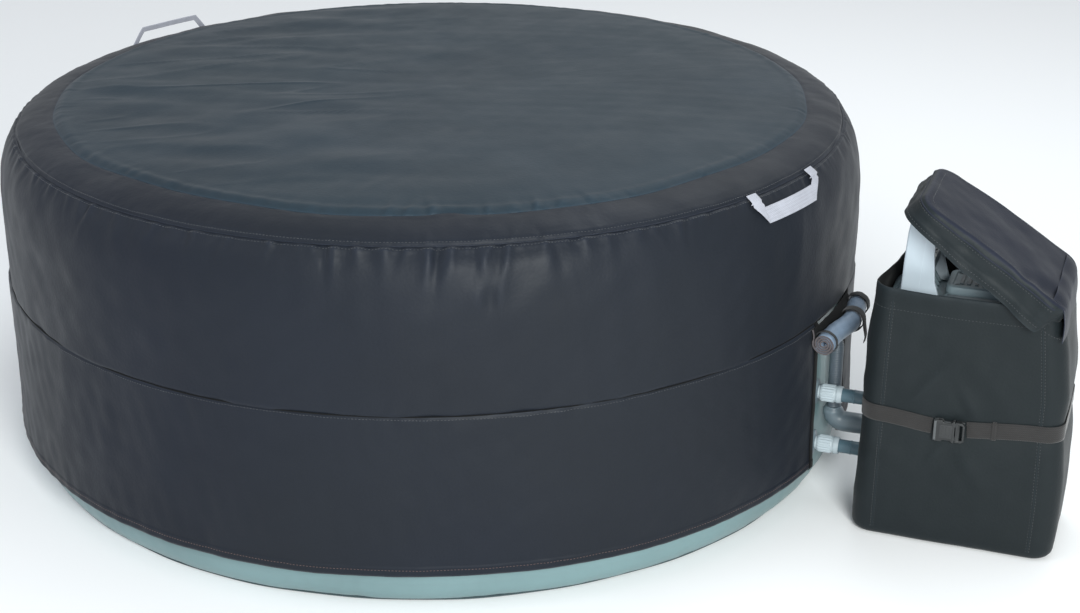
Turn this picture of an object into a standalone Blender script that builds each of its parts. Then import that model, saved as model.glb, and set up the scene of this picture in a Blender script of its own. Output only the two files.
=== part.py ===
"""Inflatable hot tub: round inflated tub, lift-off insulated jacket, and a pump unit in a soft cover.

Frame: the tub's axis is +Z with the floor at z = 0, and +X points from the tub along the pump's long side.
Every soft piece is a plain solid of its true size. Metres throughout.
"""

from math import cos, pi, radians, sin

import bmesh
import bpy
from mathutils import Matrix, Vector

# ---- driving dimensions -------------------------------------------------------------------------
SEGMENTS = 60                 # facets of every ring about the tub's axis, so that nested rings stay apart
GAP = 0.0003                  # between touching pieces

TUB_RADIUS = 0.962            # outer face of the inflated wall
BATH_RADIUS = 0.720           # inner face of the inflated wall
TUB_HEIGHT = 0.710
SKIN = 0.002                  # laminated sheet of the inflated chambers
MAT_THICKNESS = 0.004

FABRIC = 0.005                # padded fabric of the jacket
CREASE_RADIUS = 0.8504        # edge of the domed top
SEAM_RADIUS = 0.9343          # sewn seam round the shoulder
SEAM_HEIGHT = 0.7533
MID_HEIGHT = 0.425            # sewn seam halfway down the skirt
HEM_HEIGHT = 0.080
HEM_RADIUS = 0.987
DOOR_FACET = 58               # the lower skirt's facets from here on are left open, from -12 to 0 degrees

WATER_Y = -0.145              # water pipes
UPPER_Z = 0.237
LOWER_Z = 0.114
PIPE_RADIUS = 0.0150
PIPE_BORE = 0.0125
SLEEVE_X = (0.6860, 0.9840)   # the sleeves run through the inflated wall
NUT_RADIUS = 0.0195
NUT_LENGTH = 0.048
NUT_START = 0.9655            # x of the nuts' tub end
AIR_Y = -0.098                # air hose
AIR_X = 0.986
AIR_LOW_Z = 0.152
AIR_HIGH_Z = 0.350
AIR_RADIUS = 0.0150
ELBOW_RADIUS = 0.0230

BAG_X = (1.078, 1.488)
BAG_Y = (-0.310, -0.050)
BAG_HEIGHT = 0.565
BAG_SHOULDER = 0.360          # above this height the bag's outer side leans in to the flap's hinge
BAG_LEAN = 0.030
BAG_CORNER = 0.040
BAG_SKIN = 0.004
FLAP_HINGE = (1.461, 0.540)   # x and z of the hinge line along the bag's outer top edge
FLAP_ANGLE = radians(36.6)    # raised, leaning on the pump's hood
FLAP_LENGTH = 0.376
FLAP_SKIRT = 0.048
FLAP_Y = (-0.324, -0.042)
STRAP_Z = 0.274
STRAP_WIDTH = 0.036
STRAP_OFFSET = 0.0035         # from the bag's wall to the strap's inner face
STRAP_THICKNESS = 0.002
BUCKLE_X = (1.228, 1.300)
BUCKLE_MEET = 1.2770          # where the socket's mouth meets the plug's body

PUMP_X = (1.104, 1.432)
PUMP_Y = (-0.286, -0.074)
HOUSING_Z = (0.0503, 0.4950)
DECK_Z = (0.4953, 0.5150)
PUMP_WALL = 0.0035
HOOD_Y = (-0.240, -0.092)

HANDLE_WIDTH = 0.034
HANDLE_SPAN = 0.244
HANDLE_DROP = 0.058
HANDLE_THICKNESS = 0.003
HANDLE_RADIUS = 0.9480        # hinge line of a handle, just under the shoulder seam
HANDLE_HEIGHT = 0.7470
HANDLE_FRONT_AZIMUTH = radians(-18.4)
HANDLE_REAR_AZIMUTH = radians(160.0)
HANDLE_HANGING = radians(25.0)     # from straight down, a hanging handle lies on the shoulder's slope
HANDLE_STANDING = radians(185.0)

VALVE_AZIMUTH = radians(15.0)      # middle of a facet
VALVE_Z = 0.300
DRAIN_AZIMUTH = radians(171.0)
DRAIN_Z = 0.056


# ---- scene and materials ------------------------------------------------------------------------
def clear_scene():
    for obj in list(bpy.data.objects):
        bpy.data.objects.remove(obj, do_unlink=True)


def material(name, rgb, roughness, metallic=0.0):
    mat = bpy.data.materials.new(name)
    mat.use_nodes = True
    shader = mat.node_tree.nodes["Principled BSDF"]
    shader.inputs["Base Color"].default_value = (*rgb, 1.0)
    shader.inputs["Roughness"].default_value = roughness
    shader.inputs["Metallic"].default_value = metallic
    return mat


PALETTE = {
    "jacket": ((0.045, 0.052, 0.062), 0.75, 0.0),
    "tub": ((0.20, 0.32, 0.34), 0.45, 0.0),
    "lining": ((0.15, 0.21, 0.27), 0.55, 0.0),
    "webbing": ((0.42, 0.43, 0.47), 0.85, 0.0),
    "bag": ((0.036, 0.042, 0.045), 0.80, 0.0),
    "strap": ((0.045, 0.042, 0.042), 0.85, 0.0),
    "buckle": ((0.05, 0.053, 0.056), 0.40, 0.0),
    "nut": ((0.42, 0.48, 0.50), 0.45, 0.0),
    "pipe": ((0.10, 0.20, 0.25), 0.45, 0.0),
    "hose": ((0.13, 0.16, 0.19), 0.50, 0.0),
    "shell": ((0.50, 0.56, 0.60), 0.40, 0.0),
    "deck": ((0.10, 0.14, 0.155), 0.50, 0.0),
    "glass": ((0.02, 0.03, 0.035), 0.15, 0.0),
    "white_plastic": ((0.75, 0.77, 0.78), 0.45, 0.0),
    "filter": ((0.80, 0.82, 0.80), 0.85, 0.0),
    "motor": ((0.35, 0.36, 0.37), 0.35, 1.0),
    "steel": ((0.55, 0.56, 0.57), 0.30, 1.0),
    "board": ((0.03, 0.16, 0.07), 0.50, 0.0),
    "rubber": ((0.02, 0.02, 0.02), 0.70, 0.0),
}


def finish(obj, slot):
    """Give an object its own material from the palette and shade its round faces smooth."""
    rgb, roughness, metallic = PALETTE[slot]
    obj.data.materials.clear()
    obj.data.materials.append(material(obj.name, rgb, roughness, metallic))
    obj.data.shade_smooth()
    obj.data.set_sharp_from_angle(angle=radians(35))
    return obj


def from_bmesh(name, bm, slot):
    bmesh.ops.recalc_face_normals(bm, faces=bm.faces)
    mesh = bpy.data.meshes.new(name)
    bm.to_mesh(mesh)
    bm.free()
    obj = bpy.data.objects.new(name, mesh)
    bpy.context.scene.collection.objects.link(obj)
    return finish(obj, slot)


def set_origin(obj, point):
    """Move an object's origin to a point on its joint's axis, leaving its shape where it is."""
    obj.data.transform(Matrix.Translation(-Vector(point)))
    obj.location = point
    return obj


# ---- shape builders -----------------------------------------------------------------------------
def offset_inwards(profile, distance):
    """A closed outline moved towards its inside by a distance. The outline runs clockwise."""
    result = []
    count = len(profile)
    for i in range(count):
        before = Vector(profile[i - 1])
        here = Vector(profile[i])
        after = Vector(profile[(i + 1) % count])
        first = (here - before).normalized()
        second = (after - here).normalized()
        normal_a = Vector((first.y, -first.x))
        normal_b = Vector((second.y, -second.x))
        bisector = (normal_a + normal_b).normalized()
        result.append(tuple(here + bisector * distance / bisector.dot(normal_a)))
    return result


def lower_copy(profile, distance):
    """An open outline of a sheet's outer face, moved inwards, so that the two bound the sheet."""
    result = []
    for i, point in enumerate(profile):
        here = Vector(point)
        first = (here - Vector(profile[i - 1])).normalized() if i else None
        second = (Vector(profile[i + 1]) - here).normalized() if i < len(profile) - 1 else None
        first = first or second
        second = second or first
        normal_a = Vector((first.y, -first.x))
        normal_b = Vector((second.y, -second.x))
        bisector = (normal_a + normal_b).normalized()
        moved = here + bisector * distance / bisector.dot(normal_a)
        result.append((0.0 if point[0] == 0 else moved.x, moved.y))
    return result


def turned(name, outlines, slot, segments=SEGMENTS, first=0, last=None):
    """Turn closed (radius, z) outlines about +Z. A flat disc at the axis becomes one face.

    An outline that touches the axis has two points at radius 0, level with their neighbours.
    first and last pick a range of facets. A partial turn gets flat end faces.
    """
    bm = bmesh.new()
    last = segments if last is None else last
    whole = last - first == segments
    steps = range(first, last + (0 if whole else 1))
    for outline in outlines:
        rings = []
        for radius, z in outline:
            if radius == 0:
                continue
            ring = []
            for step in steps:
                angle = 2 * pi * step / segments
                ring.append(bm.verts.new((radius * cos(angle), radius * sin(angle), z)))
            rings.append(ring)
        for ring, following in zip(rings, rings[1:]):
            join_rings(bm, ring, following, whole)
        if any(radius == 0 for radius, _ in outline):
            bm.faces.new(rings[0])
            bm.faces.new(rings[-1])
        else:
            join_rings(bm, rings[-1], rings[0], whole)
        if not whole:
            bm.faces.new([ring[0] for ring in rings])
            bm.faces.new([ring[-1] for ring in reversed(rings)])
    return from_bmesh(name, bm, slot)


def join_rings(bm, ring, following, whole):
    """Faces between two rings with equal point counts, open or closed."""
    count = len(ring)
    for i in range(count if whole else count - 1):
        j = (i + 1) % count
        bm.faces.new((ring[i], ring[j], following[j], following[i]))


def aim(obj, start, direction):
    """Turn a shape made about +Z at the origin so that it starts at a point and runs along a direction."""
    turn = Vector((0, 0, 1)).rotation_difference(Vector(direction)).to_matrix().to_4x4()
    obj.data.transform(Matrix.Translation(Vector(start)) @ turn)
    obj.data.update()
    return obj


def spun(name, outline, slot, start, direction, segments=16):
    """A round piece from a closed (radius, distance) outline, laid along a direction."""
    return aim(turned(name, [outline], slot, segments), start, direction)


def rod(name, start, direction, radius, length, slot, segments=16):
    outline = [(0, 0), (radius, 0), (radius, length), (0, length)]
    return spun(name, outline, slot, start, direction, segments)


def box(name, low, high, slot):
    bm = bmesh.new()
    bmesh.ops.create_cube(bm, size=1.0)
    size = [b - a for a, b in zip(low, high)]
    middle = [(a + b) / 2 for a, b in zip(low, high)]
    for vert in bm.verts:
        vert.co = Vector([m + s * c for m, s, c in zip(middle, size, vert.co)])
    return from_bmesh(name, bm, slot)


def rounded_outline(x_range, y_range, corner, steps=4):
    """Points round a rectangle with round corners, counter-clockwise."""
    points = []
    for cx, cy, start in ((x_range[1], y_range[1], 0), (x_range[0], y_range[1], 90),
                          (x_range[0], y_range[0], 180), (x_range[1], y_range[0], 270)):
        ix = cx - corner if cx == x_range[1] else cx + corner
        iy = cy - corner if cy == y_range[1] else cy + corner
        for step in range(steps + 1):
            angle = radians(start + 90 * step / steps)
            points.append((ix + corner * cos(angle), iy + corner * sin(angle)))
    return points


def stacked(name, layers, slot, capped=True):
    """Join outlines with equal point counts, each at its own height. Uncapped ones close into a ring."""
    bm = bmesh.new()
    rings = [[bm.verts.new((x, y, z)) for x, y in outline] for outline, z in layers]
    pairs = list(zip(rings, rings[1:]))
    if not capped:
        pairs.append((rings[-1], rings[0]))
    for ring, following in pairs:
        join_rings(bm, ring, following, True)
    if capped:
        bm.faces.new(rings[0])
        bm.faces.new(rings[-1])
    return from_bmesh(name, bm, slot)


def rounded_block(name, x_range, y_range, z_range, corner, slot):
    outline = rounded_outline(x_range, y_range, corner)
    return stacked(name, [(outline, z_range[0]), (outline, z_range[1])], slot)


def extruded(name, outline, low, high, slot, axis="Y"):
    """A closed outline pushed along Y (outline in x, z) or X (outline in y, z)."""
    bm = bmesh.new()
    sides = []
    for level in (low, high):
        if axis == "Y":
            sides.append([bm.verts.new((a, level, b)) for a, b in outline])
        else:
            sides.append([bm.verts.new((level, a, b)) for a, b in outline])
    join_rings(bm, sides[0], sides[1], True)
    bm.faces.new(sides[0])
    bm.faces.new(sides[1])
    return from_bmesh(name, bm, slot)


def hollow_tube(name, points, outer, inner, slot, sides=14):
    """A tube open at both ends that follows points, with the bore right through it."""
    bm = bmesh.new()
    points = [Vector(p) for p in points]
    walls = {outer: [], inner: []}
    for i, point in enumerate(points):
        ahead = points[min(i + 1, len(points) - 1)] - point
        behind = point - points[max(i - 1, 0)]
        tangent = (ahead.normalized() + behind.normalized()).normalized()
        across = Vector((0, 1, 0))
        other = tangent.cross(across).normalized()
        for radius, rings in walls.items():
            ring = []
            for k in range(sides):
                angle = 2 * pi * k / sides
                ring.append(bm.verts.new(point + (across * cos(angle) + other * sin(angle)) * radius))
            rings.append(ring)
    loop = walls[outer] + walls[inner][::-1]
    for ring, following in zip(loop, loop[1:] + loop[:1]):
        join_rings(bm, ring, following, True)
    return from_bmesh(name, bm, slot)


def bend(centre, radius, start, end, y, steps=3):
    """Points on an arc in the X-Z plane, from one angle to another in degrees."""
    points = []
    for step in range(steps + 1):
        angle = radians(start + (end - start) * step / steps)
        points.append((centre[0] + radius * cos(angle), y, centre[1] + radius * sin(angle)))
    return points


def cut(obj, cutter, operation="DIFFERENCE"):
    """Apply a cutter with a Boolean modifier. The cutter itself is hidden and not part of the model."""
    cutter.hide_render = True
    cutter.display_type = "WIRE"
    modifier = obj.modifiers.new(cutter.name, "BOOLEAN")
    modifier.operation = operation
    modifier.object = cutter
    modifier.solver = "EXACT"
    return obj


def around_axis(azimuth, radius, z):
    return Vector((radius * cos(azimuth), radius * sin(azimuth), z))


# ---- the tub ------------------------------------------------------------------------------------
def tub_outline():
    """The inflated wall's section, clockwise from the inner bottom edge."""
    base = MAT_THICKNESS + GAP
    return [(BATH_RADIUS + 0.014, base), (BATH_RADIUS, base + 0.030), (BATH_RADIUS, 0.650),
            (BATH_RADIUS + 0.045, TUB_HEIGHT), (0.905, TUB_HEIGHT), (TUB_RADIUS, 0.650),
            (TUB_RADIUS, 0.060), (0.940, base)]


def make_tub():
    turned("ground_mat", [[(0, 0), (0.945, 0), (0.945, MAT_THICKNESS), (0, MAT_THICKNESS)]], "rubber")
    base = MAT_THICKNESS + GAP
    floor_edge = BATH_RADIUS - 0.004
    turned("tub_floor", [[(0, base), (floor_edge, base), (floor_edge, base + SKIN), (0, base + SKIN)]], "tub")

    wall = turned("tub_wall", [tub_outline()], "tub")
    cut(wall, turned("wall_air_space", [offset_inwards(tub_outline(), SKIN)], "tub"))
    for name, height in (("upper", UPPER_Z), ("lower", LOWER_Z)):
        cut(wall, rod(f"cut_{name}_sleeve", (0.60, WATER_Y, height), (1, 0, 0), PIPE_RADIUS + 0.0007, 0.45, "tub"))
    cut(wall, rod("cut_air_inlet", (0.90, AIR_Y, AIR_HIGH_Z), (1, 0, 0), AIR_RADIUS + 0.0007, 0.15, "tub"))
    cut(wall, rod("cut_air_outlet", (0.68, AIR_Y, 0.050), (1, 0, 0), AIR_RADIUS + 0.0007, 0.10, "tub"))
    for name, azimuth, height, radius in (("valve", VALVE_AZIMUTH, VALVE_Z, 0.0275),
                                          ("drain", DRAIN_AZIMUTH, DRAIN_Z, 0.0125)):
        start = around_axis(azimuth, 0.90, height)
        cut(wall, rod(f"cut_{name}", start, around_axis(azimuth, 1, 0), radius, 0.15, "tub"))

    back = BATH_RADIUS - 0.004
    ring = [(back, 0.0085), (0.663, 0.0085), (0.670, 0.056), (back, 0.056),
            (back, 0.053), (0.6726, 0.053), (0.6665, 0.0115), (back, 0.0115)]
    turned("air_ring", [ring], "tub")


def make_fittings():
    """Sleeves, filter, grille, valves and drain in the tub's wall."""
    for name, height in (("water_outlet_sleeve", UPPER_Z), ("water_inlet_sleeve", LOWER_Z)):
        hollow_tube(name, [(SLEEVE_X[0], WATER_Y, height), (SLEEVE_X[1], WATER_Y, height)], PIPE_RADIUS,
                    PIPE_BORE, "nut", 20)
    into_bath = (-1, 0, 0)
    collar = PIPE_RADIUS + 0.0012
    spun("return_grille", [(collar, 0), (0.042, 0), (0.042, 0.006), (collar, 0.006)], "white_plastic",
         (0.692, WATER_Y, UPPER_Z), into_bath)
    spun("return_nozzle", [(0.009, 0), (0.0175, 0), (0.0175, 0.024), (0.009, 0.030)], "white_plastic",
         (SLEEVE_X[0] - GAP, WATER_Y, UPPER_Z), into_bath)
    spun("filter_base", [(collar, 0), (0.048, 0), (0.048, 0.004), (collar, 0.004)], "white_plastic",
         (0.690, WATER_Y, LOWER_Z), into_bath, 20)
    cartridge_length = 0.090
    start = SLEEVE_X[0] - 0.0005
    spun("filter_cartridge", [(0.0200, 0), (0.044, 0), (0.044, cartridge_length), (0.0200, cartridge_length)],
         "filter", (start, WATER_Y, LOWER_Z), into_bath, 20)
    spun("filter_cap", [(0, 0), (0.047, 0), (0.047, 0.005), (0.040, 0.010), (0, 0.010)], "white_plastic",
         (start - cartridge_length - GAP, WATER_Y, LOWER_Z), into_bath, 20)

    outward = around_axis(VALVE_AZIMUTH, 1, 0)
    facet = cos(pi / SEGMENTS)
    face = around_axis(VALVE_AZIMUTH, TUB_RADIUS * facet, VALVE_Z)
    spun("inflation_valve", [(0.018, -0.030), (0.026, -0.030), (0.026, 0.0012), (0.018, 0.0012)], "hose",
         face, outward, 20)
    cap = spun("inflation_cap", [(0, -0.012), (0.0165, -0.012), (0.0165, 0.0016), (0.0250, 0.0016),
                                 (0.0235, 0.0080), (0, 0.0080)], "rubber", face, outward, 20)
    set_origin(cap, face)

    outward = around_axis(DRAIN_AZIMUTH, 1, 0)
    face = around_axis(DRAIN_AZIMUTH, TUB_RADIUS * facet, DRAIN_Z)
    spun("drain_valve", [(0.008, -0.035), (0.0115, -0.035), (0.0115, 0.012), (0.008, 0.012)], "hose",
         face, outward)
    cap = spun("drain_cap", [(0, 0.0125), (0.0120, 0.0125), (0.0120, 0.003), (0.0160, 0.003),
                             (0.0160, 0.016), (0, 0.016)], "rubber", face, outward)
    set_origin(cap, face)


# ---- the jacket and lid -------------------------------------------------------------------------
def jacket_outline():
    """The outer face of the jacket's section, from the top's centre out and down to the hem."""
    return [(0, 0.799), (0.66, 0.799), (0.76, 0.796), (0.822, 0.790), (CREASE_RADIUS, 0.7835),
            (0.8773, 0.7795), (0.8979, 0.7745), (0.9149, 0.7675), (SEAM_RADIUS, SEAM_HEIGHT),
            (0.9517, 0.7319), (0.9671, 0.6946), (0.9761, 0.6417), (0.9790, 0.560),
            (0.980, MID_HEIGHT), (HEM_RADIUS, HEM_HEIGHT)]


def sheet_between(first, last):
    """The closed section of one panel, between two points of the outline, clear of the panel before it."""
    outer = jacket_outline()
    inner = lower_copy(outer, FABRIC)
    faces = []
    for face in (outer, inner):
        points = [Vector(p) for p in face[first:last + 1]]
        if first > 0:
            points[0] += (points[1] - points[0]).normalized() * 2 * GAP
        faces.append([tuple(p) for p in points])
    return faces[0] + faces[1][::-1]


def make_jacket():
    crease = 4
    seam = 8
    middle = 13
    hem = 14
    turned("jacket_top", [sheet_between(0, crease)], "jacket")
    turned("jacket_shoulder", [sheet_between(crease, seam)], "jacket")
    turned("jacket_upper_skirt", [sheet_between(seam, middle)], "jacket")
    turned("jacket_lower_skirt", [sheet_between(middle, hem)], "jacket", last=DOOR_FACET)


def make_lid():
    """The inflated lid that lies on the tub's rim under the jacket's top."""
    base = TUB_HEIGHT + GAP
    top = 0.7850
    outline = [(0, base), (0.905, base), (0.930, 0.7250), (0.925, 0.7400), (0.908, 0.7550), (0.853, 0.7695),
               (0.800, top), (0, top)]
    space = [(0, base + SKIN), (0.9037, base + SKIN), (0.9276, 0.7255), (0.9230, 0.7390), (0.9071, 0.7531),
             (0.8522, 0.7675), (0.7994, top - SKIN), (0, top - SKIN)]
    lid = turned("inflatable_lid", [outline], "tub")
    cut(lid, turned("lid_air_space", [space], "tub"))
    cut(lid, rod("cut_lid_valve", (0.55, 0.0, 0.70), (0, 0, 1), 0.0125, 0.040, "tub"))
    spun("lid_valve_plug", [(0, 0), (0.016, 0), (0.016, 0.003), (0.0115, 0.0035), (0.0115, 0.022), (0, 0.022)],
         "rubber", (0.55, 0.0, base - 0.0035), (0, 0, 1), 16)


def make_handle(name, azimuth, rise):
    """A webbing loop of two legs and a crossbar in one plane, swung outwards by the rise from straight down."""
    half = HANDLE_SPAN / 2
    leg = HANDLE_WIDTH * 0.75
    inner_low = -(HANDLE_DROP - HANDLE_WIDTH)
    outer = [(-half, 0), (-half, -0.012), (-half + 0.030, -HANDLE_DROP), (half - 0.030, -HANDLE_DROP),
             (half, -0.012), (half, 0)]
    inner = [(half - leg, 0), (half - leg - 0.006, inner_low), (-half + leg + 0.006, inner_low), (-half + leg, 0)]
    loop = extruded(name, outer + inner, 0, HANDLE_THICKNESS, "webbing", axis="X")
    loop.data.transform(Matrix.Rotation(-rise, 4, "Y"))
    hinge = around_axis(azimuth, HANDLE_RADIUS, HANDLE_HEIGHT)
    loop.data.transform(Matrix.Translation(hinge) @ Matrix.Rotation(azimuth, 4, "Z"))
    set_origin(loop, hinge)


def make_door_roll():
    """The rolled-up door of the jacket's pipe opening, and the tie round its middle."""
    near = Vector((0.9865, -0.2369, 0.390))
    far = Vector((1.0144, -0.010, 0.404))
    along = (far - near).normalized()
    length = (far - near).length
    radius = 0.0255
    outline = [(0, 0), (radius, 0), (radius, length), (0, length)]
    spun("door_roll", outline, "lining", near, along, 20)
    middle = near + along * (length * 0.63)
    tie = spun("roll_tie", [(radius + 0.0004, 0), (radius + 0.0019, 0), (radius + 0.0019, 0.022),
                            (radius + 0.0004, 0.022)], "strap", middle, along, 20)
    side = Vector((0, 0, 1)).cross(along).normalized()
    tail_low = middle - side * (radius + 0.0016) - Vector((0, 0, 0.045))
    tail = box("tie_tail", (-0.0010, 0.001, 0.0), (0.0010, 0.021, 0.049), "strap")
    turn = Matrix((tuple(-side), tuple(along), (0, 0, 1))).transposed().to_4x4()
    tail.data.transform(Matrix.Translation(tail_low) @ turn)
    cut(tie, tail, "UNION")


# ---- pipes and hoses ----------------------------------------------------------------------------
def make_pipes():
    for name, height in (("upper", UPPER_Z), ("lower", LOWER_Z)):
        axis_point = (NUT_START, WATER_Y, height)
        nut = spun(f"union_nut_{name}",
                   [(PIPE_RADIUS + 0.0007, 0), (NUT_RADIUS, 0), (NUT_RADIUS, NUT_LENGTH),
                    (PIPE_RADIUS + 0.0007, NUT_LENGTH), (PIPE_RADIUS + 0.0007, 0.030), (0.0178, 0.0290),
                    (0.0178, 0.0180), (PIPE_RADIUS + 0.0007, 0.0170)], "nut", axis_point, (1, 0, 0), 20)
        set_origin(nut, axis_point)
        start = 0.9870
        flange = 0.0174
        spun(f"pipe_{name}",
             [(PIPE_BORE, 0), (flange, 0), (flange, 0.005), (PIPE_RADIUS, 0.005), (PIPE_RADIUS, 0.150),
              (PIPE_BORE, 0.150)], "pipe", (start, WATER_Y, height), (1, 0, 0), 20)
        spun(f"gasket_{name}", [(PIPE_BORE, 0), (PIPE_RADIUS, 0), (PIPE_RADIUS, 0.0022), (PIPE_BORE, 0.0022)],
             "rubber", (0.9844, WATER_Y, height), (1, 0, 0), 20)

    corner = 0.022
    joint_z = AIR_LOW_Z + 0.036
    hose = [(AIR_X, AIR_Y, joint_z + GAP), (AIR_X, AIR_Y, AIR_HIGH_Z - corner)]
    hose += bend((AIR_X - corner, AIR_HIGH_Z - corner), corner, 0, 90, AIR_Y)[1:]
    hose += [(0.940, AIR_Y, AIR_HIGH_Z)]
    hollow_tube("air_hose", hose, AIR_RADIUS, AIR_RADIUS - 0.002, "hose")
    elbow = [(1.137, AIR_Y, AIR_LOW_Z), (AIR_X + 0.026, AIR_Y, AIR_LOW_Z)]
    elbow += bend((AIR_X + 0.026, AIR_LOW_Z + 0.026), 0.026, 270, 180, AIR_Y)[1:]
    elbow += [(AIR_X, AIR_Y, joint_z)]
    hollow_tube("air_elbow", elbow, ELBOW_RADIUS, AIR_RADIUS, "hose")
    duct = [(0.9395, AIR_Y, AIR_HIGH_Z), (0.880, AIR_Y, AIR_HIGH_Z)]
    duct += bend((0.880, AIR_HIGH_Z - 0.04), 0.04, 90, 180, AIR_Y)[1:]
    duct += bend((0.800, 0.090), 0.04, 0, -90, AIR_Y)
    duct += [(0.7200, AIR_Y, 0.050)]
    hollow_tube("air_duct", duct, AIR_RADIUS - 0.003, AIR_RADIUS - 0.005, "hose", 12)


# ---- the pump's soft cover ----------------------------------------------------------------------
def inset_range(values, amount):
    return (values[0] + amount, values[1] - amount)


def ring_outline(amount, lean=0.0):
    """The bag's outline grown by an amount, or shrunk by a negative one, with the outer side moved in by the lean."""
    x_range = (BAG_X[0] - amount, BAG_X[1] + amount - lean)
    return rounded_outline(x_range, inset_range(BAG_Y, -amount), BAG_CORNER + amount)


def flap_matrix():
    """From the flap's own axes (x away from the hinge, z up from the panel) to its raised place."""
    turn = Matrix.Rotation(FLAP_ANGLE, 4, "Y")
    return Matrix.Translation((FLAP_HINGE[0], 0, FLAP_HINGE[1])) @ turn


def make_bag():
    layers = [(ring_outline(-0.018), 0), (ring_outline(-0.004), 0.005), (ring_outline(0), 0.020),
              (ring_outline(0), BAG_SHOULDER), (ring_outline(0, BAG_LEAN), BAG_HEIGHT),
              (ring_outline(-BAG_SKIN, BAG_LEAN), BAG_HEIGHT), (ring_outline(-BAG_SKIN), BAG_SHOULDER),
              (ring_outline(-BAG_SKIN), 0.021), (ring_outline(-0.010), BAG_SKIN)]
    bag = stacked("cover_bag", layers, "bag")
    cut(bag, box("cut_pipe_slot", (1.05, -0.200, 0.060), (1.10, -0.068, 0.2550), "bag"))
    slope = box("cut_under_flap", (-0.30, -0.40, -0.003), (0.05, 0.10, 0.20), "bag")
    slope.data.transform(flap_matrix())
    cut(bag, slope)


def make_flap():
    """Lid panel with a skirt on three sides, hinged along its fourth side."""
    thickness = BAG_SKIN
    corner = 0.030
    outer = rounded_outline((-FLAP_LENGTH, -0.004), FLAP_Y, corner)
    inner = rounded_outline((-FLAP_LENGTH + thickness, 0.050), inset_range(FLAP_Y, thickness), corner - thickness)
    top = 0.006
    under = top - thickness
    flap = stacked("cover_flap", [(outer, -FLAP_SKIRT), (outer, top - 0.003),
                                  (rounded_outline((-FLAP_LENGTH + 0.004, -0.006), inset_range(FLAP_Y, 0.004),
                                                   corner - 0.003), top)], "bag")
    cut(flap, stacked("cut_flap_inside", [(inner, -FLAP_SKIRT - 0.01), (inner, under)], "bag"))
    cut(flap, box("cut_hinge_side", (-0.034, FLAP_Y[0] - 0.01, -FLAP_SKIRT - 0.01),
                  (0.01, FLAP_Y[1] + 0.01, under - 0.0005), "bag"))
    hinge = (FLAP_HINGE[0], (FLAP_Y[0] + FLAP_Y[1]) / 2, FLAP_HINGE[1])
    for obj in (flap, bpy.data.objects["cut_flap_inside"], bpy.data.objects["cut_hinge_side"]):
        obj.data.transform(flap_matrix())
    set_origin(flap, hinge)


def make_strap():
    """Webbing round the bag, open at the front where the buckle closes it."""
    low = STRAP_Z - STRAP_WIDTH / 2
    high = STRAP_Z + STRAP_WIDTH / 2
    outer = ring_outline(STRAP_OFFSET + STRAP_THICKNESS)
    inner = ring_outline(STRAP_OFFSET)
    strap = stacked("cover_strap", [(outer, low), (outer, high), (inner, high), (inner, low)], "strap", capped=False)
    front = BAG_Y[0]
    cut(strap, box("cut_strap_gap", (BUCKLE_X[0] - 0.0005, front - 0.02, low - 0.01),
                   (BUCKLE_MEET + 0.0090, front + 0.01, high + 0.01), "strap"))

    make_buckle(front, low, high)


def make_buckle(front, low, high):
    """A side-release buckle: a socket with notched sides, and a two-pronged plug that the webbing passes behind."""
    back = front - 0.0006
    face = front - 0.0142
    half_height = 0.0240
    tongue = (front - 0.0122, front - 0.0072)
    cavity = (tongue[0] - 0.0006, tongue[1] + 0.0006)
    socket = box("buckle_socket", (BUCKLE_X[0], face, STRAP_Z - half_height),
                 (BUCKLE_MEET - 0.0008, cavity[1] + 0.0010, STRAP_Z + half_height), "buckle")
    cut(socket, box("cut_socket", (BUCKLE_X[0] + 0.012, cavity[0], STRAP_Z - half_height + 0.003),
                    (BUCKLE_MEET + 0.01, cavity[1] + 0.01, STRAP_Z + half_height - 0.003), "buckle"))
    for side in (-1, 1):
        z = STRAP_Z + side * half_height
        cut(socket, box(f"cut_release_{side + 1}", (BUCKLE_X[0] + 0.018, face - 0.01, z - 0.0032),
                        (BUCKLE_X[0] + 0.038, cavity[1] + 0.01, z + 0.0032), "buckle"))
    cut(socket, box("socket_back", (BUCKLE_X[0], cavity[1], STRAP_Z - half_height),
                    (BUCKLE_MEET, back, STRAP_Z + half_height), "buckle"), "UNION")

    cheek = 0.0225
    plug = box("buckle_plug", (BUCKLE_MEET + GAP, face, STRAP_Z - cheek),
               (BUCKLE_X[1], tongue[1], STRAP_Z + cheek), "buckle")
    for side in (-1, 1):
        z = STRAP_Z + side * 0.0150
        cut(plug, box(f"prong_{side + 1}", (BUCKLE_X[0] + 0.016, tongue[0], z - 0.0050),
                      (BUCKLE_MEET + 0.002, tongue[1], z + 0.0050), "buckle"), "UNION")
        inner = high + 0.0006 if side > 0 else low - 0.0006
        outer = STRAP_Z + side * cheek
        cut(plug, box(f"cheek_{side + 1}", (BUCKLE_MEET + GAP, tongue[1] - 0.001, min(inner, outer)),
                      (BUCKLE_X[1], back, max(inner, outer)), "buckle"), "UNION")
    set_origin(plug, (BUCKLE_MEET, (tongue[0] + tongue[1]) / 2, STRAP_Z))


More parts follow.
